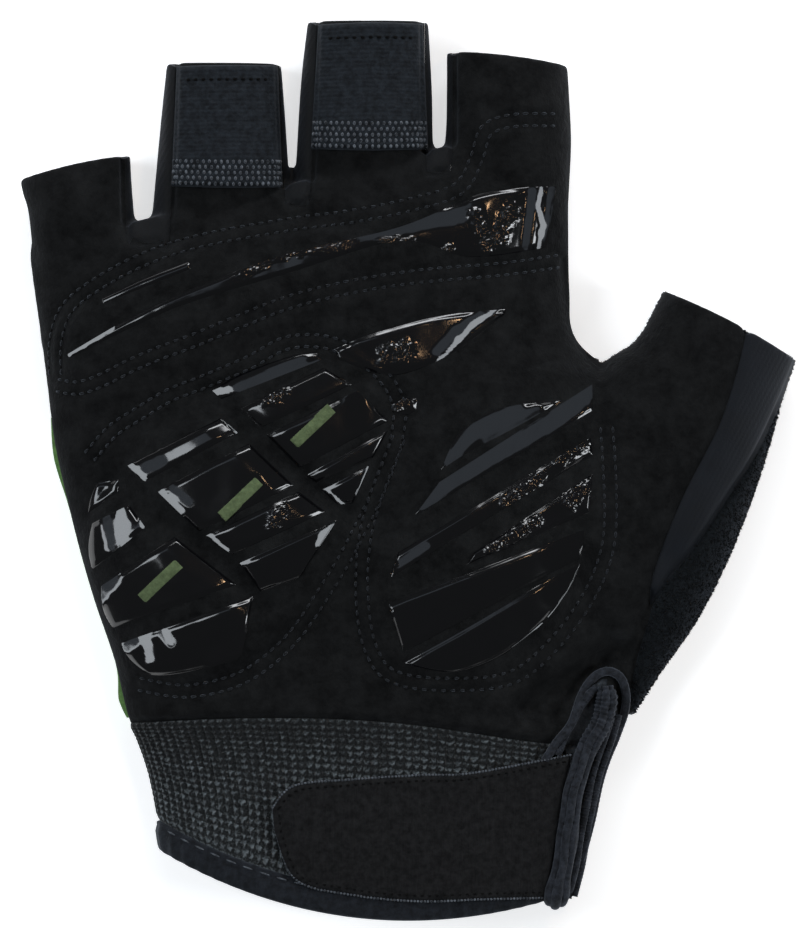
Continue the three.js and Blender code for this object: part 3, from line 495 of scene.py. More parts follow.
def tube(rows, depth, row_count, turns, inset=0.0, start_run=0.0, end_run=0.0):
    """Closed tube through the rows of a table, as points and faces"""
    t = np.linspace(0, 1, row_count + 1)
    shift = np.zeros(row_count + 1)
    if start_run:
        t = np.concatenate([[0], t])
        shift = np.concatenate([[-start_run], shift])
    if end_run > 0:
        t = np.concatenate([t, [1]])
        shift = np.concatenate([shift, [end_run]])
    elif end_run < 0:
        shift[-1] = end_run
    grid_t, grid_turn = np.meshgrid(t, turns, indexing="ij")
    points = sections(rows, depth, grid_t, grid_turn, inset, np.broadcast_to(shift[:, None], grid_t.shape))
    count = len(turns)
    faces = [face[::-1] for face in band_faces(len(t), count)]
    ends = [points[0].mean(axis=0), points[-1].mean(axis=0)]
    flat = np.concatenate([points.reshape(-1, 3), ends])
    first, last = len(flat) - 2, len(flat) - 1
    foot = (len(t) - 1) * count
    for i in range(count):
        j = (i + 1) % count
        faces.append([first, i, j])
        faces.append([last, foot + j, foot + i])
    return flat, faces


def fused(name, tubes, voxel):
    """One closed body of several overlapping tubes"""
    points, faces = [], []
    for flat, some in tubes:
        start = sum(len(p) for p in points)
        points.append(flat)
        faces += [[start + k for k in face] for face in some]
    body = new_piece(name, np.concatenate(points), faces)
    remesh = body.modifiers.new("fuse", "REMESH")
    remesh.mode = "VOXEL"
    remesh.voxel_size = voxel
    return settle(body)


def points_of(piece):
    """Vertex places of a mesh as an array"""
    flat = np.empty(3 * len(piece.data.vertices), np.float32)
    piece.data.vertices.foreach_get("co", flat)
    return flat.reshape(-1, 3).astype(float)


def normals_of(piece):
    """Vertex normals of a mesh as an array"""
    flat = np.empty(3 * len(piece.data.vertices), np.float32)
    piece.data.vertices.foreach_get("normal", flat)
    return flat.reshape(-1, 3).astype(float)


def move_points(piece, points):
    """Sets the vertex places of a mesh"""
    piece.data.vertices.foreach_set("co", points.astype(np.float32).ravel())
    piece.data.update()


def face_outwards(piece, merge=False):
    """Turns the faces of a closed piece outwards, with double points joined first if asked"""
    mesh = bmesh.new()
    mesh.from_mesh(piece.data)
    if merge:
        bmesh.ops.remove_doubles(mesh, verts=mesh.verts, dist=DOUBLE_REACH)
    if mesh.calc_volume(signed=True) < 0:
        bmesh.ops.reverse_faces(mesh, faces=mesh.faces)
    mesh.to_mesh(piece.data)
    mesh.free()
    return piece


def run_nodes(piece, tree, values):
    """Runs Geometry Nodes on a piece, with inputs set by their names"""
    mod = piece.modifiers.new(tree.name, "NODES")
    mod.node_group = tree
    for item in tree.interface.items_tree:
        if item.in_out == "INPUT" and item.name in values:
            mod[item.identifier] = values[item.name]
    return settle(piece)


def relax(piece, rounds):
    """Evens out the steps that the voxels leave"""
    mod = piece.modifiers.new("relax", "SMOOTH")
    mod.factor = 0.5
    mod.iterations = rounds
    return settle(piece)


def ripple(points, size, seed):
    """Smooth noise from -1 to 1 at points, with waves of a size"""
    offset = Vector((seed * 7.1, seed * 3.3, seed * 1.7))
    return np.array([noise.noise(Vector(p) / size + offset) for p in points])


def turns_left(outline):
    """Whether a plan outline runs against the clock"""
    x, y = outline[:, 0], outline[:, 1]
    return np.sum(x * np.roll(y, -1) - np.roll(x, -1) * y) > 0


def outline_prism(name, outline, low, high):
    """Upright prism of a plan outline between two heights"""
    outline = np.asarray(outline, float)
    if not turns_left(outline):
        outline = outline[::-1]
    count = len(outline)
    lower = np.column_stack([outline, np.full(count, low)])
    upper = np.column_stack([outline, np.full(count, high)])
    cap = tessellate_polygon([[Vector(p) for p in upper]])
    faces = []
    for a, b, c in cap:
        pa, pb, pc = outline[a], outline[b], outline[c]
        if np.cross(pb - pa, pc - pa) < 0:
            b, c = c, b
        faces.append([a + count, b + count, c + count])
        faces.append([c, b, a])
    for i in range(count):
        j = (i + 1) % count
        faces.append([i, j, j + count, i + count])
    return new_piece(name, np.concatenate([lower, upper]), faces)


def grown(outline, distance):
    """Plan outline moved outwards by a distance, or inwards where it is negative"""
    outline = np.asarray(outline, float)
    sign = 1 if turns_left(outline) else -1
    before, after = np.roll(outline, 1, axis=0), np.roll(outline, -1, axis=0)
    first, second = unit(outline - before), unit(after - outline)
    turn = unit(np.stack([first[:, 1] + second[:, 1], -first[:, 0] - second[:, 0]], axis=1))
    stretch = np.maximum(0.5, np.sum(turn * np.stack([first[:, 1], -first[:, 0]], axis=1), axis=1))
    return outline + turn * (sign * distance / stretch)[:, None]


def combined(name, base, tool, operation):
    """New solid of two solids"""
    piece = bpy.data.objects.new(name, base.data.copy())
    bpy.context.scene.collection.objects.link(piece)
    mod = piece.modifiers.new("combine", "BOOLEAN")
    mod.solver = "MANIFOLD"
    mod.operation = operation
    mod.object = tool
    settle(piece)
    if len(piece.data.vertices) == 0:
        raise RuntimeError(f"{name} came out empty")
    return piece


def carve(name, base, cuts=(), keeps=()):
    """Solid cut by columns and kept inside others, all helper objects dropped"""
    current = base
    for tools, operation in ((keeps, "INTERSECT"), (cuts, "DIFFERENCE")):
        for tool in tools:
            step = combined(name, current, tool, operation)
            if current is not base:
                drop(current)
            current = step
    current.name = name
    return current


# Sheets of cloth: the size that each was cut to, its flat area in square metres, and how it is held
Sheet = namedtuple("Sheet", "flat area held")


def dress(piece, look, nodes=(), smooth=35):
    """Gives a piece its look, and says what it stands for"""
    piece.data.materials.clear()
    piece.data.materials.append(look)
    piece.data.shade_smooth()
    if smooth:
        piece.data.set_sharp_from_angle(angle=math.radians(smooth))
    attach(piece, "root")
    if nodes:
        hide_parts(*nodes)
    return piece


# Looks of the cloths and prints
def start_look(name, colour, roughness, specular, sheen=0.0, sheen_colour=(1, 1, 1)):
    """New material, with its node tree, its shader and the places on the object"""
    look = bpy.data.materials.new(name)
    look.use_nodes = True
    tree = look.node_tree
    shader = tree.nodes["Principled BSDF"]
    shader.inputs["Base Color"].default_value = (*colour, 1)
    shader.inputs["Roughness"].default_value = roughness
    shader.inputs["Specular IOR Level"].default_value = specular
    shader.inputs["Sheen Weight"].default_value = sheen
    shader.inputs["Sheen Roughness"].default_value = 0.5
    shader.inputs["Sheen Tint"].default_value = (*sheen_colour, 1)
    coord = tree.nodes.new("ShaderNodeTexCoord")
    return look, tree, shader, coord.outputs["Object"]


def noise_node(tree, place, size, detail, roughness=0.5, stretch=(1, 1, 1)):
    """Noise with features of a size in metres, stretched along the axes"""
    mapping = tree.nodes.new("ShaderNodeMapping")
    mapping.inputs["Scale"].default_value = [1 / (size * s) for s in stretch]
    tree.links.new(place, mapping.inputs["Vector"])
    node = tree.nodes.new("ShaderNodeTexNoise")
    node.inputs["Scale"].default_value = 1
    node.inputs["Detail"].default_value = detail
    node.inputs["Roughness"].default_value = roughness
    tree.links.new(mapping.outputs["Vector"], node.inputs["Vector"])
    return node.outputs["Fac"]


def ramp_node(tree, value, stops):
    """Colours over a value: stops of place and colour"""
    node = tree.nodes.new("ShaderNodeValToRGB")
    elements = node.color_ramp.elements
    while len(elements) < len(stops):
        elements.new(0.5)
    for element, (place, colour) in zip(elements, stops):
        element.position = place
        element.color = (*colour, 1)
    tree.links.new(value, node.inputs["Fac"])
    return node.outputs["Color"]


def shade(tree, shader, value, colour, stops):
    """Colours a look by a value: stops of place and share of the colour"""
    shades = [(place, [c * share for c in colour]) for place, share in stops]
    tree.links.new(ramp_node(tree, value, shades), shader.inputs["Base Color"])


def math_node(tree, operation, a, b=None):
    """Result of a calculation with one or two numbers or values"""
    node = tree.nodes.new("ShaderNodeMath")
    node.operation = operation
    for socket, value in zip(node.inputs, (a, b)):
        if value is None:
            continue
        if isinstance(value, (int, float)):
            socket.default_value = value
        else:
            tree.links.new(value, socket)
    return node.outputs[0]


def bump_node(tree, shader, height, depth, strength=1.0):
    """Relief of a depth in metres from a height value, chained onto what is there"""
    node = tree.nodes.new("ShaderNodeBump")
    node.inputs["Strength"].default_value = strength
    node.inputs["Distance"].default_value = depth
    tree.links.new(height, node.inputs["Height"])
    socket = shader.inputs["Normal"]
    if socket.links:
        tree.links.new(socket.links[0].from_socket, node.inputs["Normal"])
    tree.links.new(node.outputs["Normal"], socket)


def suede_look(colour):
    """Brushed suede: short fibres and soft worn patches"""
    look, tree, shader, place = start_look("suede", colour, 0.9, 0.1, 0.05, (0.8, 0.88, 1))
    shade(tree, shader, noise_node(tree, place, 5 * MM, 8, 0.78), colour, [(0.36, 0.25), (0.66, 2.4)])
    fibres = noise_node(tree, place, 0.35 * MM, 2, 0.6, (1, 2.2, 1))
    bump_node(tree, shader, fibres, 0.12 * MM, 0.8)
    bump_node(tree, shader, noise_node(tree, place, 1.8 * MM, 4, 0.6), 0.5 * MM, 0.7)
    return look


def gloss_look(colour):
    """Thick glossy print, smooth but for the spots where its skin is crackled"""
    look, tree, shader, place = start_look("grip_print", colour, 0.13, 0.5)
    bump_node(tree, shader, noise_node(tree, place, 6 * MM, 2, 0.4), 0.35 * MM, 0.6)
    spots = tree.nodes.new("ShaderNodeAttribute")
    spots.attribute_name = "crackle"
    crackle = noise_node(tree, place, 1.1 * MM, 1, 0.5)
    bump_node(tree, shader, math_node(tree, "MULTIPLY", crackle, spots.outputs["Fac"]), 0.5 * MM, 1.0)
    return look


def twill_look(name, colour):
    """Smooth stretch cloth with fine slanted ribs"""
    look, tree, shader, place = start_look(name, colour, 0.75, 0.2, 0.08, (0.7, 0.8, 1))
    mapping = tree.nodes.new("ShaderNodeMapping")
    mapping.inputs["Rotation"].default_value = (0, 0, math.radians(28))
    tree.links.new(place, mapping.inputs["Vector"])
    wave = tree.nodes.new("ShaderNodeTexWave")
    wave.inputs["Scale"].default_value = 1 / (0.4 * MM) / 6.4
    wave.inputs["Distortion"].default_value = 0.6
    tree.links.new(mapping.outputs["Vector"], wave.inputs["Vector"])
    bump_node(tree, shader, wave.outputs["Fac"], 0.06 * MM, 0.4)
    bump_node(tree, shader, noise_node(tree, place, 0.4 * MM, 2, 0.6), 0.12 * MM, 0.7)
    shade(tree, shader, noise_node(tree, place, 6 * MM, 4), colour, [(0.3, 0.75), (0.7, 1.3)])
    return look


def terry_look(colour):
    """Terry cloth under its pile"""
    look, tree, shader, place = start_look("terry", colour, 1.0, 0.05, 0.15, (0.7, 0.8, 1))
    bump_node(tree, shader, noise_node(tree, place, 0.6 * MM, 3, 0.7), 0.4 * MM, 0.8)
    shade(tree, shader, noise_node(tree, place, 0.9 * MM, 4, 0.75), colour, [(0.3, 0.5), (0.7, 1.7)])
    return look


def knit_look(colour):
    """Rib knit of heather yarn: a V of yarn in every cell of the knit's own grid"""
    look, tree, shader, place = start_look("heather_knit", colour, 0.95, 0.15, 0.1)
    grid = tree.nodes.new("ShaderNodeUVMap")
    grid.uv_map = "knit"
    parts = tree.nodes.new("ShaderNodeSeparateXYZ")
    tree.links.new(grid.outputs["UV"], parts.inputs[0])
    wobble = math_node(tree, "MULTIPLY", noise_node(tree, place, 1.4 * MM, 4, 0.7), 1.5)
    column = math_node(tree, "ADD", parts.outputs["X"], wobble)
    row = math_node(tree, "ADD", parts.outputs["Y"], wobble)
    aside = math_node(tree, "ABSOLUTE", math_node(tree, "SUBTRACT", math_node(tree, "FRACT", column), 0.5))
    bend = math_node(tree, "MULTIPLY", aside, 0.6)
    slant = math_node(tree, "FRACT", math_node(tree, "SUBTRACT", row, bend))
    off = math_node(tree, "ABSOLUTE", math_node(tree, "SUBTRACT", slant, 0.5))
    yarn = math_node(tree, "SUBTRACT", 1.0, math_node(tree, "MULTIPLY", off, 2.2))
    between = math_node(tree, "POWER", math_node(tree, "MULTIPLY", aside, 2.1), 3)
    yarn = math_node(tree, "MAXIMUM", math_node(tree, "SUBTRACT", yarn, between), 0)
    cell = tree.nodes.new("ShaderNodeCombineXYZ")
    tree.links.new(math_node(tree, "FLOOR", column), cell.inputs["X"])
    tree.links.new(math_node(tree, "FLOOR", row), cell.inputs["Y"])
    fleck = tree.nodes.new("ShaderNodeTexWhiteNoise")
    tree.links.new(cell.outputs[0], fleck.inputs["Vector"])
    flecks = math_node(tree, "ADD", math_node(tree, "MULTIPLY", fleck.outputs["Value"], 0.7), 0.45)
    patches = noise_node(tree, place, 0.4 * MM, 4, 0.8)
    light = math_node(tree, "MULTIPLY", math_node(tree, "MULTIPLY", yarn, flecks), patches)
    fuzz = math_node(tree, "MULTIPLY", math_node(tree, "POWER", patches, 3), 0.9)
    # Painted light: the knit is made lighter towards the hem and darker towards the suede
    painted_light_to_hem = math_node(tree, "SUBTRACT", 1.6, math_node(tree, "MULTIPLY", parts.outputs["Y"], 0.044))
    light = math_node(tree, "MULTIPLY", math_node(tree, "ADD", light, fuzz), painted_light_to_hem)
    shade(tree, shader, light, colour, [(0.08, 0.3), (0.24, 1), (0.6, 7)])
    bump_node(tree, shader, yarn, 0.4 * MM, 0.8)
    bump_node(tree, shader, patches, 0.2 * MM, 0.6)
    return look


def cloth_look(name, colour, grain=0.5 * MM, sheen=0.1, contrast=1.35, streaks=0.0):
    """Plain mottled cloth or thread of a grain, with upright streaks of a width if given"""
    look, tree, shader, place = start_look(name, colour, 0.88, 0.15, sheen, (0.75, 0.85, 1))
    mottle = noise_node(tree, place, 1.3 * MM, 6, 0.78)
    shade(tree, shader, mottle, colour, [(0.38, 1 / contrast), (0.62, contrast)])
    bump_node(tree, shader, noise_node(tree, place, grain, 2, 0.6), 0.15 * MM, 0.8)
    if streaks:
        lines = noise_node(tree, place, streaks, 2, 0.6, (1, 16, 1))
        bump_node(tree, shader, lines, 0.4 * MM, 0.9)
    return look


def looks():
    """Materials, each made once"""
    if "looks" not in WORK:
        c = bpy.context.scene.glove_colours
        WORK["looks"] = {
            "suede": suede_look(c.suede),
            "gloss": gloss_look(c.gloss),
            "twill": twill_look("stretch_twill", c.twill),
            # a darker copy of the stretch twill: painted shade of the strips between the fingers
            "finger_side": twill_look("finger_side_cloth", c.finger_side),
            "terry": terry_look(c.terry),
            "pile": cloth_look("terry_pile", c.pile, 0.4 * MM, 0.0, 1.3),
            "knit": knit_look(c.heather),
            "webbing": cloth_look("webbing", c.webbing, 0.5 * MM, 0.04, 1.9),
            "binding": cloth_look("binding", c.binding, 0.45 * MM, 0.15, 2.4),
            "hem": cloth_look("hem_cloth", c.hem, 0.45 * MM, 0.15, 1.9),
            "facing": cloth_look("slit_facing", c.facing, 0.5 * MM, 0.1, 1.6),
            "strap": cloth_look("strap_cloth", c.strap, 0.6 * MM, 0.04, 2.4, 0.6 * MM),
            "green_bar": cloth_look("green_bar", c.green_bar, 0.4 * MM, 0.0, 1.3),
            "green": cloth_look("green_mesh", c.green, 0.6 * MM, 0.1),
            "thread": cloth_look("thread", c.thread, 0.2 * MM, 0.3),
            "pale_thread": cloth_look("pale_thread", c.pale_thread, 0.2 * MM, 0.2, 4.5),
            # near-black beads that paint the shade of the needle holes
            "hole": cloth_look("needle_hole_shade", c.hole, 0.2 * MM, 0.0),
        }
    return WORK["looks"]


# Relief of the bodies that the panels are cut from
STITCH_DIP, STITCH_DIP_REACH = 0.35 * MM, 0.8 * MM
SEAM_DIP, SEAM_DIP_REACH = 0.85 * MM, 0.75 * MM
SIDE_DIP, SIDE_DIP_REACH = 0.4 * MM, 0.9 * MM
WAVES = [(16 * MM, 0.5 * MM), (5 * MM, 0.16 * MM)]  # of the cloth: size and height
HOLLOW_SINK = 0.7 * MM


def palm_relief(spots):
    """Rise of the palm side at plan spots: pads, ridge, stitch channels and creases"""
    rise = np.zeros(len(spots))
    for pad in GEL_PADS:
        off = spots - plan(pad.centre)[0]
        turn = math.radians(pad.turn)
        along = (off[:, 0] * math.cos(turn) + off[:, 1] * math.sin(turn)) / (pad.along * PALM_WIDTH)
        across = (off[:, 1] * math.cos(turn) - off[:, 0] * math.sin(turn)) / (pad.across * PALM_WIDTH)
        reach = along**2 + across**2
        rise += GEL_RISE * np.clip(1 - reach**2, 0, None)
    off = away_from(spots, plan(RIDGE_ROUTE)) / RIDGE_REACH
    rise += RIDGE_RISE * np.clip(1 - off**2, 0, None)
    for route in PALM_STITCHES.values():
        away = away_from(spots, smooth_line(spot(route), RELIEF_STEP)) - ROW_SPACING / 2
        rise -= STITCH_DIP * np.exp(-((away / STITCH_DIP_REACH) ** 2))
    for crease in CREASES:
        away = away_from(spots, smooth_line(spot(crease.route), RELIEF_STEP)) / crease.reach
        rise -= crease.dip * np.exp(-away**2)
    return rise


def seam_dip(spots):
    """Share of the seams' dip at plan spots: 1 on the panels' seams, 0 away from them"""
    seams = [smooth_line(plan(line), RELIEF_STEP) for line in (CUFF_LINE, STRETCH_INNER, STRETCH_OUTER)]
    seams += [plan(TERRY_TAIL)]
    seams += [smooth_line(plan(outline), RELIEF_STEP) for outline in FOURCHETTES.values()]
    dip = np.zeros(len(spots))
    for seam in seams:
        dip = np.maximum(dip, np.exp(-((away_from(spots, seam) / SEAM_DIP_REACH) ** 2)))
    return dip


def above_seam(points):
    """Share from 0 at the side seams to 1 well above them"""
    return np.clip((points[:, 2] - SEAM_HEIGHT) / (SEAM_HEIGHT / 2), 0, 1)


def shape_body(body):
    """Raises the pads, sinks the seams and waves the cloth of a plain body"""
    points = points_of(body)
    normals = normals_of(body)
    upper = above_seam(points)
    side = np.exp(-(((points[:, 2] - SEAM_HEIGHT) / SIDE_DIP_REACH) ** 2))
    dip = np.maximum(seam_dip(points[:, :2]) * upper * SEAM_DIP, side * SIDE_DIP)
    swell = sum(ripple(points, size, seed) * height for seed, (size, height) in enumerate(WAVES, 1))
    above_floor = np.clip(points[:, 2] / (2 * MM), 0, 1)
    points[:, 2] += upper * (palm_relief(points[:, :2]) + swell)
    points -= normals * (dip * above_floor)[:, None]
    points[:, 2] = np.maximum(points[:, 2], 0)
    move_points(body, points)
    return body


def glove_bodies():
    """Fine body for the palm side, coarser one for the back, and the hollow, each made once"""
    if "palm_body" in WORK:
        return
    turns, finger_turns = ring_turns(110, 10, 24), ring_turns(60, 10, 12)
    tubes = [tube(PALM_ROWS, PALM_DEPTH, 150, turns), tube(THUMB_ROWS, THUMB_DEPTH, 90, turns)]
    tubes += [tube(rows, FINGER_DEPTH, 50, finger_turns) for rows in FINGER_ROWS.values()]
    coarser = 1
    WORK["palm_body"] = shape_body(relax(fused("palm_body", tubes, PALM_VOXEL * coarser), 8))
    WORK["back_body"] = shape_body(relax(fused("back_body", tubes, BACK_VOXEL * coarser), 5))
    run = 2 * WALL
    inner = [
        tube(PALM_ROWS, PALM_DEPTH, 60, ring_turns(50, 5, 10), WALL, run, -WALL),
        tube(THUMB_ROWS, THUMB_DEPTH, 40, ring_turns(50, 5, 10), WALL, 0, run),
    ]
    inner += [tube(rows, FINGER_DEPTH, 24, ring_turns(30, 5, 6), WALL, 0, run)
              for rows in FINGER_ROWS.values()]
    hollow = relax(fused("hollow", inner, HOLLOW_VOXEL * coarser), 3)
    points = points_of(hollow)
    points[:, 2] += above_seam(points) * (np.minimum(palm_relief(points[:, :2]), 0) - HOLLOW_SINK)
    move_points(hollow, points)
    WORK["palm_shell"] = combined("palm_shell", WORK["palm_body"], hollow, "DIFFERENCE")
    WORK["back_shell"] = combined("back_shell", WORK["back_body"], hollow, "DIFFERENCE")
    drop(hollow)
    graph = bpy.context.evaluated_depsgraph_get()
    WORK["face"] = BVHTree.FromObject(WORK["palm_body"], graph)


SKY = 60 * MM
FAR = 300 * MM
EVERYWHERE = [(-FAR, -FAR), (FAR, -FAR), (FAR, FAR), (-FAR, FAR)]


def face_height(x, y):
    """Height of the glove's upper face at a plan place"""
    hit = WORK["face"].ray_cast(Vector((x, y, SKY)), Vector((0, 0, -1)))
    return hit[0].z if hit[0] is not None else SEAM_HEIGHT


def heights(spots):
    """Heights of the glove's upper face at plan spots"""
    return np.array([face_height(x, y) for x, y in spots])


def upper_half():
    """Everything above the side seams"""
    return outline_prism("upper_half", EVERYWHERE, SEAM_HEIGHT + SEAM_GAP / 4, SKY)


def lower_half():
    """Everything below the side seams"""
    return outline_prism("lower_half", EVERYWHERE, -SKY, SEAM_HEIGHT - SEAM_GAP / 4)


def column(outline, growth):
    """Everything over and under a plan outline, grown by a distance"""
    return outline_prism("column", grown(outline, growth), -SKY, SKY)


def cuff_outline():
    """Plan outline of all that lies below the knit's upper seam"""
    line = smooth_line(plan(CUFF_LINE), 4 * MM)
    return np.concatenate([line, [(FAR, -FAR), (-FAR, -FAR)]])


def side_outline(outline):
    """Smooth plan outline of a finger side"""
    return smooth_line(plan(outline), 1.5 * MM)


def stretch_outline():
    """Plan outline of the twill leaf, run out past the thumb's end"""
    outer = smooth_line(plan(STRETCH_OUTER), THUMB_STEP)[::-1]
    far = [(FAR, plan(STRETCH_OUTER[0])[0, 1] + FAR / 4), (plan(STRETCH_INNER[0])[0, 0], FAR)]
    return np.concatenate([smooth_line(plan(STRETCH_INNER), THUMB_STEP), outer[1:], far])


def terry_outline():
    """Plan outline of the terry on the palm side, run out past the thumb"""
    tail = plan(TERRY_TAIL)
    far = [(FAR, tail[-1, 1]), (FAR, plan(STRETCH_OUTER[0])[0, 1] + FAR / 4)]
    return np.concatenate([smooth_line(plan(STRETCH_OUTER), THUMB_STEP), tail, far])


def terry_back_outline():
    """Plan outline of the terry on the floor side, run out past the thumb"""
    line = smooth_line(plan(TERRY_BACK), 3 * MM)
    return np.concatenate([line, [(FAR, line[-1, 1]), (FAR, FAR)]])


def hand_shells():
    """Shells above the cuff, with the finger sides opened for the fourchettes"""
    if "palm_hand" in WORK:
        return
    glove_bodies()
    cuff = column(cuff_outline(), SEAM_GAP / 2)
    sides = [column(side_outline(outline), SEAM_GAP / 2) for outline in FOURCHETTES.values()]
    for half in ("palm", "back"):
        hand = carve(f"{half}_hand_whole", WORK[f"{half}_shell"], cuts=[cuff])
        WORK[f"{half}_hand_whole"] = hand
        WORK[f"{half}_hand"] = carve(f"{half}_hand", hand, cuts=sides)
    drop(cuff, *sides)


def make_palm():
    """Suede of the palm, with the hollow of the hand inside"""
    hand_shells()
    slit = outline_prism("slit", plan(SLIT), SEAM_HEIGHT, SKY)
    cuts = [column(stretch_outline(), SEAM_GAP / 2), column(terry_outline(), SEAM_GAP / 2), slit]
    keep = upper_half()
    piece = carve("palm_suede", WORK["palm_hand"], cuts=cuts, keeps=[keep])
    drop(keep, *cuts)
    dress(piece, looks()["suede"], ["palm_panel"])


def make_back():
    """Stretch cloth of the back"""
    hand_shells()
    cuts = [column(terry_back_outline(), SEAM_GAP / 2), column(plan(TRIM_EDGE), SEAM_GAP / 2)]
    keep = lower_half()
    piece = carve("back_stretch", WORK["back_hand"], cuts=cuts, keeps=[keep])
    drop(keep, *cuts)
    dress(piece, looks()["twill"], ["back_panel"])


# Where the green trim bulges past the palm, by pixel of the photograph: reach and how far
TRIM_BULGES = [((55, 460), 6 * MM, 0.9 * MM), ((122, 700), 3.5 * MM, 1.1 * MM)]


def make_trim():
    """Green trim at the little-finger side"""
    hand_shells()
    keeps = [lower_half(), column(plan(TRIM_EDGE), -SEAM_GAP / 2)]
    piece = carve("green_side_trim", WORK["back_hand"], keeps=keeps)
    drop(*keeps)
    points = points_of(piece)
    for pixel, reach, proud in TRIM_BULGES:
        off = (points[:, 1] - spot(pixel)[0, 1]) / reach
        points[:, 0] -= proud * np.exp(-off**2) * np.clip(points[:, 2] / SEAM_HEIGHT, 0, 1)
    move_points(piece, points)
    dress(piece, looks()["green"], ["side_trim"])


def make_fourchettes():
    """Strips in the sides of the fingers"""
    hand_shells()
    for name, outline in FOURCHETTES.items():
        keep = column(side_outline(outline), -SEAM_GAP / 2)
        piece = carve(f"finger_side_{name}", WORK["palm_hand_whole"], keeps=[keep])
        drop(keep)
        dress(piece, looks()["finger_side"], [f"fourchette_{name}"])


def make_thumb_panels():
    """Twill leaf and terry of the thumb"""
    hand_shells()
    keeps = [upper_half(), column(stretch_outline(), -SEAM_GAP / 2)]
    twill = carve("thumb_twill_leaf", WORK["palm_hand"], keeps=keeps)
    drop(*keeps)
    dress(twill, looks()["twill"], ["thumb_stretch_panel"])
    front = column(terry_outline(), -SEAM_GAP / 2)
    high = outline_prism("high", EVERYWHERE, SEAM_HEIGHT - WALL, SKY)
    front_part = combined("front", front, high, "INTERSECT")
    back = column(terry_back_outline(), -SEAM_GAP / 2)
    low = lower_half()
    back_part = combined("back", back, low, "INTERSECT")
    both = combined("both", front_part, back_part, "UNION")
    terry = carve("thumb_terry", WORK["palm_hand"], keeps=[both])
    drop(front, high, front_part, back, low, back_part, both)
    dress(terry, looks()["terry"], ["thumb_terry_panel"])


# Cuff and hem
RIB_PITCH = 1.44 * MM
RIB_DEPTH = 0.4 * MM
CUFF_ROWS = 66
CUFF_INNER_ROWS = 8
CUFF_STITCH_ROWS = 20
BEAD_DEPTH = 0.12 * MM  # of the valleys between the rows of stitches
CUFF_EDGE_RISE = 0.35 * MM
WRIST_SHARE = 0.15  # how far along the palm tube the ribs are evenly spaced
HEM_SWELL = 0.25 * MM
HEM_SEAM_DEPTH = 0.3 * MM
HEM_PULL = 0.12 * MM  # of the cloth between two of the binding's stitches
HEM_PITCH = 3.1 * MM


def even_turns(count):
    """Turns round the wrist at even distances"""
    turn = np.linspace(0, 1, 4000)
    ring = sections(PALM_ROWS, PALM_DEPTH, np.full(len(turn), WRIST_SHARE), turn)
    run = run_along(ring)
    return np.interp(np.linspace(0, run[-1], count, endpoint=False), run, turn), run[-1]


def hem_line():
    """Plan line of the binding's upper edge"""
    first = PALM_ROWS[0]
    left, right = plan([first.left, first.right])
    s = np.linspace(-1.2, 1.2, 60)[:, None]
    line = left + (right - left) * (s + 1) / 2
    line[:, 1] += (HEM_HEIGHT - first.sag * GLOVE_LENGTH * (1 - s**2))[:, 0]
    return line


def reach_to(line, turns):
    """Share t along the palm tube at which each turn meets a plan line"""
    t = np.linspace(0, 0.4, 161)
    grid_t, grid_turn = np.meshgrid(t, turns, indexing="ij")
    ring = sections(PALM_ROWS, PALM_DEPTH, grid_t, grid_turn)
    above = ring[..., 1] - np.interp(ring[..., 0], line[:, 0], line[:, 1])
    crossed = np.argmax(above > 0, axis=0)
    k = np.clip(crossed, 1, None)
    i = np.arange(len(turns))
    low, high = above[k - 1, i], above[k, i]
    return t[k - 1] + (t[k] - t[k - 1]) * np.clip(-low / (high - low), 0, 1)


def make_cuff():
    """Rib knit of the wrist, with a grid for the look of its stitches"""
    glove_bodies()
    _, girth = even_turns(10)
    ribs = round(girth / RIB_PITCH)
    per_rib = 6
    turns, _ = even_turns(ribs * per_rib)
    count = len(turns)
    low = reach_to(hem_line(), turns)
    high = reach_to(smooth_line(plan(CUFF_LINE), 2 * MM), turns)
    wave = np.cos(2 * np.pi * np.arange(count) / per_rib)
    rib = RIB_DEPTH * (0.5 - 0.5 * wave) ** 1.5
    share = np.concatenate([np.linspace(0, 1, CUFF_ROWS), np.linspace(1, 0, CUFF_INNER_ROWS)])[:, None]
    face = np.concatenate([np.ones(CUFF_ROWS), np.zeros(CUFF_INNER_ROWS)])[:, None]
    stitch_row = share * CUFF_STITCH_ROWS
    bead = BEAD_DEPTH * np.abs(np.sin(np.pi * stitch_row)) ** 0.7
    ends = np.clip(np.minimum(share, 1 - share) * 14, 0, 1)
    proud = (rib - bead) * ends + CUFF_EDGE_RISE * (1 - ends) ** 2
    t = low + (high - low) * share
    around = np.broadcast_to(turns, t.shape)
    loop = sections(PALM_ROWS, PALM_DEPTH, t, around, np.where(face > 0, proud, WALL))
    rows = len(share)
    whole = new_piece("cuff_whole", loop, [face[::-1] for face in loop_faces(rows, count)])
    columns = np.arange(count + 1) / per_rib
    grid = whole.data.uv_layers.new(name="knit")
    corners = []
    for ring in range(rows):
        lower, upper = stitch_row[ring, 0], stitch_row[(ring + 1) % rows, 0]
        for i in range(count):
            corners += [columns[i], upper, columns[i + 1], upper, columns[i + 1], lower, columns[i], lower]
    grid.data.foreach_set("uv", np.array(corners, np.float32))
    slit = outline_prism("slit", plan(SLIT), SEAM_HEIGHT, SKY)
    piece = carve("cuff_rib_knit", whole, cuts=[slit])
    drop(whole, slit)
    dress(piece, looks()["knit"], ["cuff_knit"], 60)


def rounded(value):
    """Sine or cosine of a rounded square instead of a circle"""
    return np.sign(value) * np.abs(value) ** 0.6


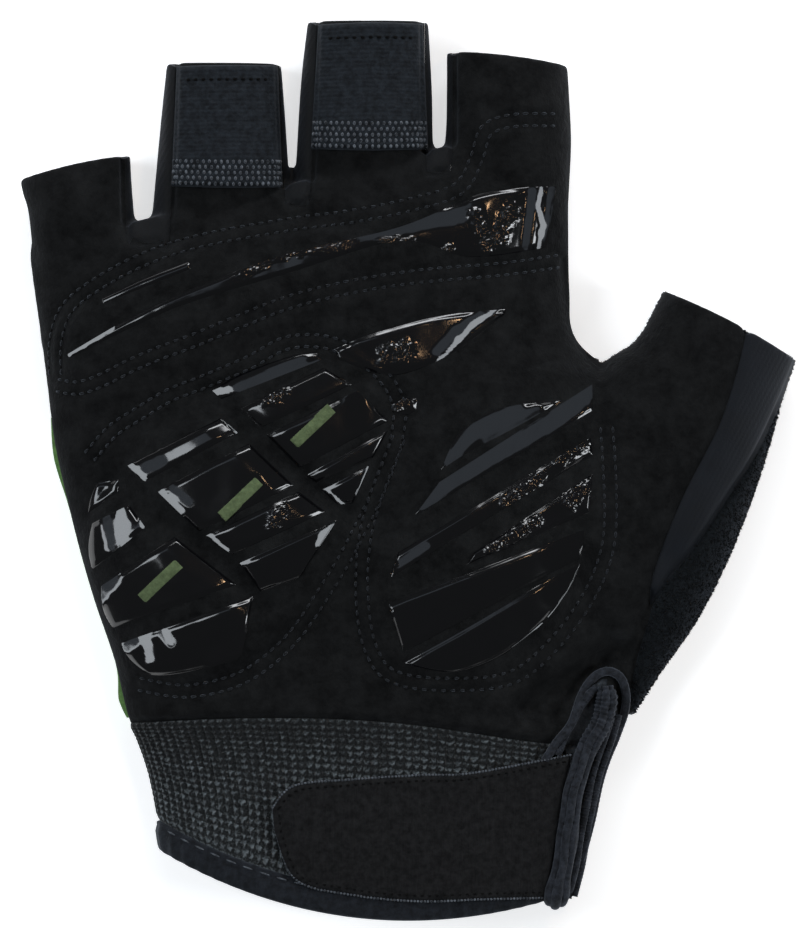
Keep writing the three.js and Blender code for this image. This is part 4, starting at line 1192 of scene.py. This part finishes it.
def make_hem():
    """Binding of the wrist opening"""
    glove_bodies()
    turns, girth = even_turns(420)
    reach = reach_to(hem_line(), turns)
    angle = np.linspace(0, 2 * np.pi, 28, endpoint=False)[:, None]
    along = 0.5 + 0.5 * rounded(np.cos(angle))
    proud = HEM_PROUD + HEM_SWELL
    inset = WALL / 2 - (WALL / 2 + proud) * rounded(np.sin(angle))
    seam = np.exp(-(((along - 0.86) / 0.08) ** 2)) * (np.sin(angle) > 0)
    inset = inset + HEM_SEAM_DEPTH * seam
    grid = np.broadcast_to(turns, (len(angle), len(turns)))
    pull = HEM_PULL * np.sin(2 * np.pi * np.arange(len(turns)) / len(turns) * round(girth / HEM_PITCH))
    inset = inset + pull * (np.sin(angle) > 0.3)
    t = np.broadcast_to(along * reach, grid.shape)
    loop = sections(PALM_ROWS, PALM_DEPTH, t, grid, inset)
    piece = new_piece("hem_binding", loop, loop_faces(len(angle), len(turns)))
    dress(piece, looks()["hem"], ["cuff_hem"], 60)


# Flat pieces laid on the palm side: fineness, thickness and rounding, how deep they sit in the
# face, how far their lower edge lifts, how high their waves are, and whether their edges are soft
Build = namedtuple("Build", "step thickness bevel sink lift waves soft", defaults=(0.1 * MM, 0, 0, False))
PRINT_BUILD = Build(0.36 * MM, 0.5 * MM, 1.1 * MM, sink=0.05 * MM, waves=0.04 * MM, soft=True)
BAR_BUILD = Build(0.5 * MM, 0.3 * MM, 0.5 * MM, sink=-0.36 * MM, soft=True)
TAB_BUILD = Build(0.22 * MM, 1.5 * MM, 0.8 * MM, lift=1.1 * MM)
STRAP_BUILD = Build(0.45 * MM, 1.7 * MM, 1.0 * MM, waves=0.12 * MM)
FACING_BUILD = Build(0.5 * MM, 0.8 * MM, 0.4 * MM, sink=1.0 * MM, waves=0.2 * MM)


def patch(name, laid, build, seed=3, texture=None):
    """Closed flat piece that follows the face below it, with rounded edges"""
    step, thickness, bevel, sink, lift, waves, soft = build
    upper = smooth_rows(plan(laid.upper), np.linspace(0, 1, 200))
    lower = smooth_rows(plan(laid.lower), np.linspace(0, 1, 200))
    length = np.linalg.norm(np.diff((upper + lower) / 2, axis=0), axis=1).sum()
    width = np.linalg.norm(upper - lower, axis=1).max()
    n, m = max(6, round(length / step)), max(4, round(width / step))
    u, v = np.linspace(0, 1, n + 1)[:, None], np.linspace(0, 1, m + 1)[None, :]
    over = smooth_rows(plan(laid.upper), u[:, 0])
    under = smooth_rows(plan(laid.lower), u[:, 0])
    spots = over[:, None, :] * (1 - v[..., None]) + under[:, None, :] * v[..., None]
    swell = GLOVE_LENGTH * 4 * u * (1 - u)
    spots[..., 1] += swell * (laid.rise * (1 - v) - laid.fall * v)
    ahead = unit(spots[-1, m // 2] - spots[0, m // 2])
    spots -= ahead * (laid.bow * 4 * v * (1 - v) * (1 - u) ** 4)[..., None]
    flat = spots.reshape(-1, 2)
    seat = heights(flat).reshape(n + 1, m + 1)
    local = np.linalg.norm(spots[:, 0] - spots[:, -1], axis=1)[:, None]
    edge = np.minimum(np.minimum(v, 1 - v) * local, np.minimum(u, 1 - u) * length)
    near = np.clip(edge / bevel, 0, 1)
    round_share = near**2 * (3 - 2 * near) if soft else np.sqrt(1 - (1 - near) ** 2)
    top = thickness * round_share + lift * v**2
    if waves:
        top = top + waves * ripple(np.column_stack([flat, np.zeros(len(flat))]), 4 * MM, seed).reshape(
            top.shape) * round_share
    if texture is not None:
        top = top + texture(u * length, v * local) * round_share
    upper_face = np.dstack([spots, seat - sink + np.maximum(top, sink * 0.5)])
    lower_face = np.dstack([spots, seat - sink + lift * v**2 * np.ones_like(seat)])
    total = (n + 1) * (m + 1)
    i, j = np.meshgrid(np.arange(n), np.arange(m), indexing="ij")
    a = (i * (m + 1) + j).ravel()
    quads = np.stack([a, a + 1, a + m + 2, a + m + 1], axis=1)
    faces = quads.tolist() + (quads[:, ::-1] + total).tolist()
    rim = list(range(m)) + [k * (m + 1) + m for k in range(n)]
    rim += [n * (m + 1) + k for k in range(m, 0, -1)] + [k * (m + 1) for k in range(n, 0, -1)]
    for p, q in zip(rim, rim[1:] + rim[:1]):
        faces.append([q, p, p + total, q + total])
    points = np.concatenate([upper_face.reshape(-1, 3), lower_face.reshape(-1, 3)])
    return face_outwards(new_piece(name, points, faces), merge=True)


def lamp_slope(name):
    """Sideways parts of a normal that mirrors a lamp, or the dark overhead, into the camera"""
    place = next((np.array(lamp.place) for lamp in LAMPS if lamp.name == name), np.array((0, 0, 1)))
    middle = place / np.linalg.norm(place) + (0, 0, 1)
    return middle[:2] / middle[2]


def set_glints(piece):
    """Tips a print's normals to the lamps at its glints, and marks where its skin is crackled"""
    points, normals = points_of(piece)[:, :2], normals_of(piece)
    rough = ripple(points_of(piece), 1.5 * MM, 9)
    crackled = np.zeros(len(points))
    for lamp, strokes in GLINTS.items():
        lean = unit(np.append(lamp_slope(lamp), 1))
        uneven = 1 + GLINT_RAGGED[lamp] * rough
        for reach, *route in strokes:
            share = np.clip(1.6 - away_from(points, spot(route)) / (reach * PIXEL * uneven), 0, 1)
            share = (0.92 * share * share * (3 - 2 * share) * (normals[:, 2] > 0.3))[:, None]
            normals = normals * (1 - share) + lean * share
            if lamp == "warm" and reach > SMOOTH_REACH:
                crackled = np.maximum(crackled, share[:, 0])
    mark = piece.data.attributes.new("crackle", "FLOAT", "POINT")
    mark.data.foreach_set("value", crackled.astype(np.float32))
    piece.data.normals_split_custom_set_from_vertices(unit(normals).tolist())


def make_prints():
    """Glossy prints of the palm, and the green bars on them"""
    glove_bodies()
    for index, (name, laid) in enumerate(PRINTS.items()):
        piece = patch(f"grip_{name}", laid, PRINT_BUILD, seed=index + 5)
        dress(piece, looks()["gloss"], [f"print_{name}"], 0)
        set_glints(piece)
    for name, laid in GREEN_BARS.items():
        bar = patch(f"green_bar_{name}", laid, BAR_BUILD)
        dress(bar, looks()["green_bar"])


def seated_line(spots, rise):
    """Line in space over plan spots, a little above the glove's face"""
    return np.column_stack([spots, heights(spots) + rise])


def laid_line(laid, v, top, lift, margin):
    """Line in space across a laid piece, at share v from its upper to its lower edge"""
    u = np.linspace(margin, 1 - margin, 60)
    over, under = smooth_rows(plan(laid.upper), u), smooth_rows(plan(laid.lower), u)
    return seated_line(smooth_line(over * (1 - v) + under * v, SEWN_STEP), top + lift * v**2)


# Ribs of the webbing, and threads across them
WEB_RIB_PITCH, WEB_RIB_RISE = 0.75 * MM, 0.08 * MM
WEB_THREAD_PITCH, WEB_THREAD_RISE = 1.5 * MM, 0.04 * MM

# Rows of nubs on a tab: how many, where they start, and how far apart, as shares of the tab
NUB_ROWS, NUB_START, NUB_SPACING = 5, 0.79, 0.045

# Pitch of the stitches along a row, and length and width of each
Sewn = namedtuple("Sewn", "pitch length width")
PALM_THREAD = Sewn(1.7 * MM, 1.05 * MM, 0.5 * MM)
# The holes are near-black beads beside the thread, painted shade of the needle holes
PALM_HOLE_SHADES = PALM_THREAD._replace(length=0.5 * MM, width=0.42 * MM)
TAB_HOLE_SHADES = Sewn(1.35 * MM, 0.75 * MM, 0.55 * MM)
TAB_NUBS = Sewn(1.05 * MM, 0.55 * MM, 0.75 * MM)
STRAP_HOLE_SHADES = Sewn(1.35 * MM, 0.6 * MM, 0.4 * MM)
STRAP_THREAD = Sewn(0.6 * MM, 0.5 * MM, 0.45 * MM)
HEM_THREAD = Sewn(3.2 * MM, 1.9 * MM, 0.3 * MM)
STRAP_EDGE_INSET, STRAP_HOLE_INSET = 0.25 * MM, 1.0 * MM
HEM_DASH_DROP, HEM_DASH_RISE = 0.9 * MM, 0.72 * MM


def weave(along, down):
    """Relief of the webbing at places along and down a tab"""
    rib = np.sin(2 * np.pi * down / WEB_RIB_PITCH)
    cross = np.sin(2 * np.pi * along / WEB_THREAD_PITCH) * np.sign(np.sin(np.pi * down / WEB_RIB_PITCH))
    return WEB_RIB_RISE * rib + WEB_THREAD_RISE * cross


def make_tabs():
    """Webbing tabs of two fingers, with their stitches and nubs"""
    glove_bodies()
    holes, nubs = [], []
    top, lift = TAB_BUILD.thickness, TAB_BUILD.lift
    for finger, laid in TABS.items():
        piece = patch(f"pull_tab_{finger}_webbing", laid, TAB_BUILD, texture=weave)
        dress(piece, looks()["webbing"], [f"pull_tab_{finger}"], 60)
        holes.append(laid_line(laid, 0.12, top, lift, 0.16))
        for k in range(NUB_ROWS):
            margin = 0.03 + 0.025 * (k % 2)
            nubs.append(laid_line(laid, NUB_START + NUB_SPACING * k, top - 0.1 * MM, lift, margin))
    stitches("tab_stitch_hole_shades", holes, TAB_HOLE_SHADES, looks()["hole"])
    stitches("tab_nubs", nubs, TAB_NUBS, looks()["pale_thread"])


def make_strap():
    """Tab across the wrist, with its sewn edge"""
    glove_bodies()
    hole, pale = looks()["hole"], looks()["pale_thread"]
    piece = patch("wrist_strap_cloth", STRAP, STRAP_BUILD)
    dress(piece, looks()["strap"], ["wrist_strap"], 60)
    over, under = (smooth_line(plan(edge), SEWN_STEP) for edge in (STRAP.upper, STRAP.lower))
    outline = smooth_line(np.concatenate([over[::-1], under]), SEWN_STEP)
    edge = grown(outline, -STRAP_EDGE_INSET)
    thread = seated_line(edge, STRAP_BUILD.thickness * 0.75)
    # Needle holes as near-black beads: painted shade
    holes = seated_line(grown(edge, -STRAP_HOLE_INSET), STRAP_BUILD.thickness - 0.12 * MM)
    stitches("strap_needle_holes", [holes], STRAP_HOLE_SHADES, hole)
    stitches("strap_edge_thread", [thread], STRAP_THREAD, pale)


def swept(name, route, radius, sides, step, shape, lift=0.0):
    """Cord laid on the glove along a plan route, with shape giving the share of its radius"""
    line = smooth_line(plan(route), step)
    length = np.linalg.norm(np.diff(line, axis=0), axis=1).sum()
    share = np.linspace(0, 1, len(line))
    z = np.array([max(face_height(x + dx, y + dy) for dx, dy in
                      ((0, 0), (radius / 2, 0), (-radius / 2, 0), (0, radius / 2), (0, -radius / 2)))
                  for x, y in line])
    z = np.convolve(np.pad(z, 4, mode="edge"), np.ones(9) / 9, mode="valid") + radius * 0.75 + lift
    centre = np.column_stack([line, z])
    ahead = unit(np.gradient(centre, axis=0))
    side = unit(np.cross(ahead, (0, 0, 1)))
    up = np.cross(side, ahead)
    angle = np.linspace(0, 2 * np.pi, sides, endpoint=False)
    reach = radius * shape(share[:, None], length, angle[None, :])
    ring = (centre[:, None] + side[:, None] * (reach * np.cos(angle))[..., None]
            + up[:, None] * (reach * np.sin(angle))[..., None])
    faces = band_faces(len(line), sides)
    flat = np.concatenate([ring.reshape(-1, 3), centre[[0, -1]]])
    first, last = len(flat) - 2, len(flat) - 1
    foot = (len(line) - 1) * sides
    for i in range(sides):
        j = (i + 1) % sides
        faces.append([first, j, i])
        faces.append([last, foot + i, foot + j])
    return face_outwards(new_piece(name, flat, faces))


# Cords of the slit
PIPING_RADIUS = 0.8 * MM
ROLL_RADIUS = 1.8 * MM
PLEAT_RADIUS = 0.72 * MM
BINDING_PITCH = 0.9 * MM  # of the threads across the binding
PLEAT_PITCH = 0.6 * MM


def threads(share, length, pitch):
    """Swing of threads across a cord, at a share of its length"""
    return np.sin(2 * np.pi * share * length / pitch)


def welts(share, length, angle):
    """Piping with a welt along each side"""
    ridges = sum(np.exp(-(((angle - np.pi / 2 - off) / 0.22) ** 2)) for off in (-0.75, 0.75))
    return 1 + 0.16 * ridges + 0.03 * threads(share, length, BINDING_PITCH)


def pleated(share, length, angle):
    """Roll in six pleats that drift round it, thick near its lower end"""
    drift = 0.5 * np.sin(share * 11) + 0.3 * np.sin(share * 29)
    pleats = 0.38 * (np.abs(np.sin(3 * (angle + 0.25 * drift))) ** 0.4 - 0.75)
    ribs = 0.07 * threads(share, length, BINDING_PITCH) * np.clip(2 - share * 5, 0.15, 1)
    bulb = 0.3 * np.exp(-(((share - 0.95) / 0.05) ** 2))
    taper = 0.3 * np.exp(-((share / 0.03) ** 2)) + 0.5 * np.exp(-(((1 - share) / 0.015) ** 2))
    return 1 + pleats + ribs + bulb - taper + 0.06 * drift


def threaded(share, length, angle):
    """Fold with threads across it, the same all round"""
    return 1 + 0.08 * threads(share, length, PLEAT_PITCH) + 0.1 * np.sin(share * 17)


def make_piping():
    """Piping, roll, folds and facing of the slit"""
    glove_bodies()
    binding = looks()["binding"]
    piece = swept("slit_piping_cord", PIPING_ROUTE, PIPING_RADIUS, 36, 0.3 * MM, welts)
    dress(piece, binding, ["slit_piping"], 70)
    roll = swept("slit_pleated_roll", ROLL_ROUTE, ROLL_RADIUS, 64, 0.2 * MM, pleated)
    dress(roll, binding, ["slit_roll"], 70)
    for k, (route, lift) in enumerate(zip(PLEAT_ROUTES, PLEAT_LIFTS), 1):
        fold = swept(f"slit_pleat_{k}", route, PLEAT_RADIUS, 16, 0.25 * MM, threaded, lift)
        dress(fold, binding)
    dress(patch("slit_facing", SLIT_FACING, FACING_BUILD), looks()["facing"])


# Stitches
def start_tree(name, geometry, numbers, material, result):
    """New Geometry Nodes tree with named inputs and output, and its first and last node"""
    tree = bpy.data.node_groups.new(name, "GeometryNodeTree")
    face = tree.interface
    face.new_socket(geometry, in_out="INPUT", socket_type="NodeSocketGeometry")
    for number in numbers:
        face.new_socket(number, in_out="INPUT", socket_type="NodeSocketFloat")
    face.new_socket(material, in_out="INPUT", socket_type="NodeSocketMaterial")
    face.new_socket(result, in_out="OUTPUT", socket_type="NodeSocketGeometry")
    return tree, tree.nodes.new("NodeGroupInput"), tree.nodes.new("NodeGroupOutput")


def finish_tree(tree, placed, material, end):
    """Turns what is placed on points into one mesh with a material"""
    real = tree.nodes.new("GeometryNodeRealizeInstances")
    tree.links.new(placed.outputs[0], real.inputs[0])
    painted = tree.nodes.new("GeometryNodeSetMaterial")
    tree.links.new(real.outputs[0], painted.inputs["Geometry"])
    tree.links.new(material, painted.inputs["Material"])
    tree.links.new(painted.outputs[0], end.inputs[0])


def stitch_tree():
    """Geometry Nodes that set beads of thread along a line"""
    if "stitch_tree" in WORK:
        return WORK["stitch_tree"]
    tree, start, end = start_tree(
        "stitches_along_line", "Line", ("Pitch", "Length", "Width"), "Thread", "Stitches")
    new, link = tree.nodes.new, tree.links.new
    curve = new("GeometryNodeMeshToCurve")
    link(start.outputs["Line"], curve.inputs[0])
    spaced = new("GeometryNodeResampleCurve")
    spaced.mode = "LENGTH"
    link(curve.outputs[0], spaced.inputs["Curve"])
    link(start.outputs["Pitch"], spaced.inputs["Length"])
    bead = new("GeometryNodeMeshUVSphere")
    bead.inputs["Segments"].default_value = 8
    bead.inputs["Rings"].default_value = 5
    bead.inputs["Radius"].default_value = 0.5
    size = new("ShaderNodeCombineXYZ")
    link(start.outputs["Width"], size.inputs["X"])
    link(start.outputs["Width"], size.inputs["Y"])
    link(start.outputs["Length"], size.inputs["Z"])
    scaled = new("GeometryNodeTransform")
    link(bead.outputs["Mesh"], scaled.inputs["Geometry"])
    link(size.outputs[0], scaled.inputs["Scale"])
    tangent = new("GeometryNodeInputTangent")
    turn = new("FunctionNodeAlignRotationToVector")
    turn.axis = "Z"
    link(tangent.outputs[0], turn.inputs["Vector"])
    placed = new("GeometryNodeInstanceOnPoints")
    link(spaced.outputs[0], placed.inputs["Points"])
    link(scaled.outputs[0], placed.inputs["Instance"])
    link(turn.outputs[0], placed.inputs["Rotation"])
    finish_tree(tree, placed, start.outputs["Thread"], end)
    WORK["stitch_tree"] = tree
    return tree


def stitches(name, lines, sewn, look):
    """Stitches along lines of points in space, as one plain mesh"""
    points = np.concatenate(lines)
    edges, start = [], 0
    for line in lines:
        edges += [(start + k, start + k + 1) for k in range(len(line) - 1)]
        start += len(line)
    mesh = bpy.data.meshes.new(name)
    mesh.from_pydata(points.tolist(), edges, [])
    piece = bpy.data.objects.new(name, mesh)
    bpy.context.scene.collection.objects.link(piece)
    values = {"Pitch": sewn.pitch, "Length": sewn.length, "Width": sewn.width, "Thread": look}
    return dress(run_nodes(piece, stitch_tree(), values), look, smooth=0)


def beside(line, distance):
    """Plan line moved sideways by a distance"""
    ahead = unit(np.gradient(line, axis=0))
    return line + np.stack([-ahead[:, 1], ahead[:, 0]], axis=1) * distance


def make_stitches():
    """Rows of stitches with their needle holes, and the dashes along the hem"""
    glove_bodies()
    beads, holes = [], []
    for route in PALM_STITCHES.values():
        middle = smooth_line(spot(route), SEWN_STEP)
        for side in (-ROW_SPACING / 2, ROW_SPACING / 2):
            row = beside(middle, side)
            beads.append(seated_line(row, 0.0))
            # near-black beads of painted shade at the needle holes
            holes.append(seated_line(row[2:], 0.02 * MM))
    stitches("palm_stitches", beads, PALM_THREAD, looks()["thread"])
    stitches("palm_needle_holes", holes, PALM_HOLE_SHADES, looks()["hole"])
    line = hem_line()
    inner = (line[:, 0] > plan(PALM_ROWS[0].left)[0, 0] + 1 * MM) & (line[:, 0] < spot((560, 0))[0, 0])
    dashes = smooth_line(line[inner] - (0, HEM_DASH_DROP), 0.5 * MM)
    dashes = seated_line(dashes, HEM_DASH_RISE)
    stitches("hem_stitches", [dashes], HEM_THREAD, looks()["pale_thread"])


def tuft_tree():
    """Geometry Nodes that set short tufts of pile on a face"""
    tree, start, end = start_tree("tufts_on_face", "Face", ("Density", "Size"), "Pile", "Tufts")
    new, link = tree.nodes.new, tree.links.new
    spread = new("GeometryNodeDistributePointsOnFaces")
    spread.inputs["Seed"].default_value = 4
    link(start.outputs["Face"], spread.inputs["Mesh"])
    link(start.outputs["Density"], spread.inputs["Density"])
    tuft = new("GeometryNodeMeshCone")
    tuft.inputs["Vertices"].default_value = 4
    tuft.inputs["Radius Bottom"].default_value = 0.5
    tuft.inputs["Depth"].default_value = 1.3
    lean = new("FunctionNodeRandomValue")
    lean.data_type = "FLOAT_VECTOR"
    lean.inputs[0].default_value = (-0.9, -0.9, 0)
    lean.inputs[1].default_value = (0.9, 0.9, 6.3)
    lean.inputs["Seed"].default_value = 9
    turned = new("FunctionNodeRotateRotation")
    turned.rotation_space = "LOCAL"
    link(spread.outputs["Rotation"], turned.inputs[0])
    link(lean.outputs[0], turned.inputs[1])
    grow = new("FunctionNodeRandomValue")
    grow.inputs[2].default_value = 0.6
    grow.inputs[3].default_value = 1.3
    grow.inputs["Seed"].default_value = 12
    size = new("ShaderNodeMath")
    size.operation = "MULTIPLY"
    link(grow.outputs[1], size.inputs[0])
    link(start.outputs["Size"], size.inputs[1])
    placed = new("GeometryNodeInstanceOnPoints")
    link(spread.outputs["Points"], placed.inputs["Points"])
    link(tuft.outputs["Mesh"], placed.inputs["Instance"])
    link(turned.outputs[0], placed.inputs["Rotation"])
    link(size.outputs[0], placed.inputs["Scale"])
    finish_tree(tree, placed, start.outputs["Pile"], end)
    return tree


TUFT_DENSITY = 4.5e6  # on a square metre
TUFT_SIZE = 0.28 * MM
PILE_FLOOR = 0.6 * MM  # height from which the terry has its pile
SKIN_REACH = 0.35 * MM  # how far a face on the outside may lie from the palm's body


def make_tufts():
    """Pile of the thumb's terry"""
    piece = bpy.data.objects.new("terry_tufts", bpy.data.objects["thumb_terry"].data.copy())
    bpy.context.scene.collection.objects.link(piece)
    keep = bmesh.new()
    keep.from_mesh(piece.data)
    inner = [face for face in keep.faces if not outward(face)]
    bmesh.ops.delete(keep, geom=inner, context="FACES")
    keep.to_mesh(piece.data)
    keep.free()
    density = TUFT_DENSITY * 1
    values = {"Density": density, "Size": TUFT_SIZE, "Pile": looks()["pile"]}
    dress(run_nodes(piece, tuft_tree(), values), looks()["pile"], smooth=0)


def outward(face):
    """Whether a face of the terry looks away from the hollow"""
    middle = face.calc_center_median()
    hit = WORK["face"].find_nearest(middle)
    return hit[0] is not None and hit[3] < SKIN_REACH and middle.z > PILE_FLOOR


# Stage
FLOOR_REACH = 2
FLOOR_GLOW = 0.55
STUDIO_GLOW = 0.13
SENSOR_HEIGHT = 24  # of the camera, in millimetres
Lamp = namedtuple("Lamp", "name place size power colour")
LAMPS = [
    Lamp("cool", (-0.8, 0.15, 0.85), (0.46, 0.66), 7, (0.88, 0.94, 1)),
    Lamp("veil", (-0.35, 0.5, 1.1), (0.5, 0.4), 0.4, (0.72, 0.84, 1)),
    Lamp("warm", (0.3, 0.3, 1.0), (0.06, 0.06), 0.55, (1, 0.62, 0.34)),
    Lamp("far_right", (1.0, -0.15, 0.58), (0.25, 0.6), 6.5, (0.92, 0.96, 1)),
    Lamp("far_top", (0.1, 1.05, 0.6), (0.7, 0.22), 6.5, (0.95, 0.97, 1)),
]


def make_stage(distance, light):
    """Floor, studio glow, lamps, and a camera straight above at a distance"""
    scene = bpy.context.scene
    scene.view_settings.view_transform = "Standard"
    centre = spot(PHOTO_CENTRE)[0]
    corners = [(x * FLOOR_REACH, y * FLOOR_REACH, 0) for x, y in ((-1, -1), (1, -1), (1, 1), (-1, 1))]
    floor = new_piece("floor", corners, [[0, 1, 2, 3]])
    look, _, shader, _ = start_look("pale_floor", (0.9, 0.9, 0.9), 0.9, 0.0)
    shader.inputs["Emission Color"].default_value = (1, 1, 1, 1)
    shader.inputs["Emission Strength"].default_value = FLOOR_GLOW
    floor.data.materials.append(look)
    world = bpy.data.worlds.new("studio")
    world.use_nodes = True
    background = world.node_tree.nodes["Background"]
    background.inputs["Color"].default_value = (0.9, 0.95, 1, 1)
    background.inputs["Strength"].default_value = STUDIO_GLOW
    scene.world = world
    for setting in LAMPS:
        lamp = bpy.data.lights.new(setting.name, "AREA")
        lamp.shape = "RECTANGLE"
        lamp.size, lamp.size_y = setting.size
        lamp.energy = setting.power * light
        lamp.color = setting.colour
        obj = bpy.data.objects.new(setting.name, lamp)
        obj.location = setting.place
        obj.rotation_euler = (-Vector(setting.place)).to_track_quat("-Z", "Y").to_euler()
        scene.collection.objects.link(obj)
    camera = bpy.data.cameras.new("camera")
    camera.sensor_fit = "VERTICAL"
    camera.sensor_height = SENSOR_HEIGHT
    camera.lens = camera.sensor_height * distance / (PIXEL * PHOTO_HEIGHT)
    camera.clip_end = 10
    obj = bpy.data.objects.new("camera", camera)
    obj.location = (centre[0], centre[1], distance + SEAM_HEIGHT)
    scene.collection.objects.link(obj)
    scene.camera = obj


def colour_prop(name, text, value):
    """Setting of a colour"""
    return bpy.props.FloatVectorProperty(name=name, description=text, subtype="COLOR", size=3,
                                         default=value, min=0, max=1)


class GloveColours(bpy.types.PropertyGroup):
    """Colours of the cloths, threads and prints"""
    suede: colour_prop("Suede", "Palm, fingers and thumb front", (0.0038, 0.004, 0.0041))
    gloss: colour_prop("Grip print", "Raised glossy prints", (0.002, 0.002, 0.0024))
    twill: colour_prop("Stretch twill", "Thumb leaf and back", (0.0022, 0.0034, 0.0056))
    # Darker than the stretch twill: painted shade between the fingers
    finger_side: colour_prop("Finger sides", "Strips between the fingers", (0.0013, 0.0017, 0.0022))
    terry: colour_prop("Terry", "Wiping panel of the thumb", (0.0042, 0.0052, 0.0058))
    heather: colour_prop("Heather knit", "Rib knit of the wrist", (0.0155, 0.018, 0.0193))
    webbing: colour_prop("Webbing", "Pull tabs", (0.0076, 0.0096, 0.0122))
    binding: colour_prop("Binding", "Piping and roll of the slit", (0.0096, 0.011, 0.0142))
    hem: colour_prop("Hem", "Binding of the wrist opening", (0.0056, 0.0068, 0.009))
    facing: colour_prop("Facing", "Cloth inside the slit", (0.02, 0.023, 0.027))
    strap: colour_prop("Strap cloth", "Tab across the wrist", (0.0042, 0.0042, 0.0044))
    green: colour_prop("Green trim", "Side of the back", (0.12, 0.23, 0.07))
    green_bar: colour_prop("Green bars", "Plain bars on the outer pad", (0.085, 0.115, 0.055))
    thread: colour_prop("Thread", "Stitches of the palm", (0.0046, 0.005, 0.0056))
    pale_thread: colour_prop("Pale thread", "Edges of the strap and nubs of the tabs", (0.026, 0.029, 0.033))
    pile: colour_prop("Pile", "Tufts of the terry", (0.0036, 0.0042, 0.0046))
    # Needle holes: near-black beads of painted shade where the thread goes through
    hole: colour_prop("Needle holes", "Between the stitches of the palm", (0.0006, 0.0006, 0.0006))


class GloveStage(bpy.types.PropertyGroup):
    """Camera and light"""
    camera_distance: bpy.props.FloatProperty(
        name="Camera distance", description="Height of the camera over the glove", default=2.0, min=0.5,
        max=10, subtype="DISTANCE", unit="LENGTH")
    light: bpy.props.FloatProperty(
        name="Light", description="Brightness of all the lamps", default=1.0, min=0, max=10)


def maker(idname, label, text, action):
    """Operator class that makes one piece or group of pieces"""

    def execute(self, context):
        action()
        return {"FINISHED"}

    return type("GLOVE_OT_" + idname, (bpy.types.Operator,),
                {"bl_idname": "glove." + idname, "bl_label": label, "__doc__": text, "execute": execute})


def stage_action():
    """Makes the stage with the settings of the panel"""
    settings = bpy.context.scene.glove_stage
    make_stage(settings.camera_distance, settings.light)


OPERATORS = [
    maker("stage", "Stage", "Floor, lamps and camera", stage_action),
    maker("palm", "Palm", "Suede palm with gel pads", make_palm),
    maker("back", "Back", "Stretch back", make_back),
    maker("trim", "Side trim", "Green trim of the back", make_trim),
    maker("finger_sides", "Finger sides", "Strips between the fingers", make_fourchettes),
    maker("thumb_panels", "Thumb panels", "Twill leaf and terry of the thumb", make_thumb_panels),
    maker("tufts", "Terry pile", "Tufts of the terry", make_tufts),
    maker("cuff", "Cuff", "Rib knit of the wrist", make_cuff),
    maker("hem", "Hem", "Binding of the wrist opening", make_hem),
    maker("strap", "Strap", "Tab across the wrist", make_strap),
    maker("piping", "Piping", "Piping and roll of the slit", make_piping),
    maker("pull_tabs", "Pull tabs", "Webbing tabs of two fingers", make_tabs),
    maker("prints", "Grip prints", "Glossy prints of the palm", make_prints),
    maker("stitches", "Stitches", "Rows of stitches", make_stitches),
]


class GLOVE_PT_panel(bpy.types.Panel):
    """Lists the glove's pieces"""
    bl_label = "Cycling glove"
    bl_idname = "GLOVE_PT_panel"
    bl_space_type = "VIEW_3D"
    bl_region_type = "UI"
    bl_category = "Glove"

    def draw(self, context):
        for group in (context.scene.glove_colours, context.scene.glove_stage):
            for name in group.__annotations__:
                self.layout.prop(group, name)
        for operator in OPERATORS:
            self.layout.operator(operator.bl_idname)


CLASSES = [GloveColours, GloveStage, *OPERATORS, GLOVE_PT_panel]


def register():
    for item in CLASSES:
        bpy.utils.register_class(item)
    bpy.types.Scene.glove_colours = bpy.props.PointerProperty(type=GloveColours)
    bpy.types.Scene.glove_stage = bpy.props.PointerProperty(type=GloveStage)


def unregister():
    del bpy.types.Scene.glove_stage
    del bpy.types.Scene.glove_colours
    for item in reversed(CLASSES):
        bpy.utils.unregister_class(item)


HELPERS = ("palm_body", "back_body", "palm_shell", "back_shell", "palm_hand_whole", "back_hand_whole",
           "palm_hand", "back_hand")


def main():
    """Makes the stage and every piece, and writes both boxes"""
    register()
    for operator in OPERATORS:
        group, name = operator.bl_idname.split(".")
        getattr(getattr(bpy.ops, group), name)()
    drop(*(WORK.pop(name) for name in HELPERS))


if __name__ == "__main__":
    main()
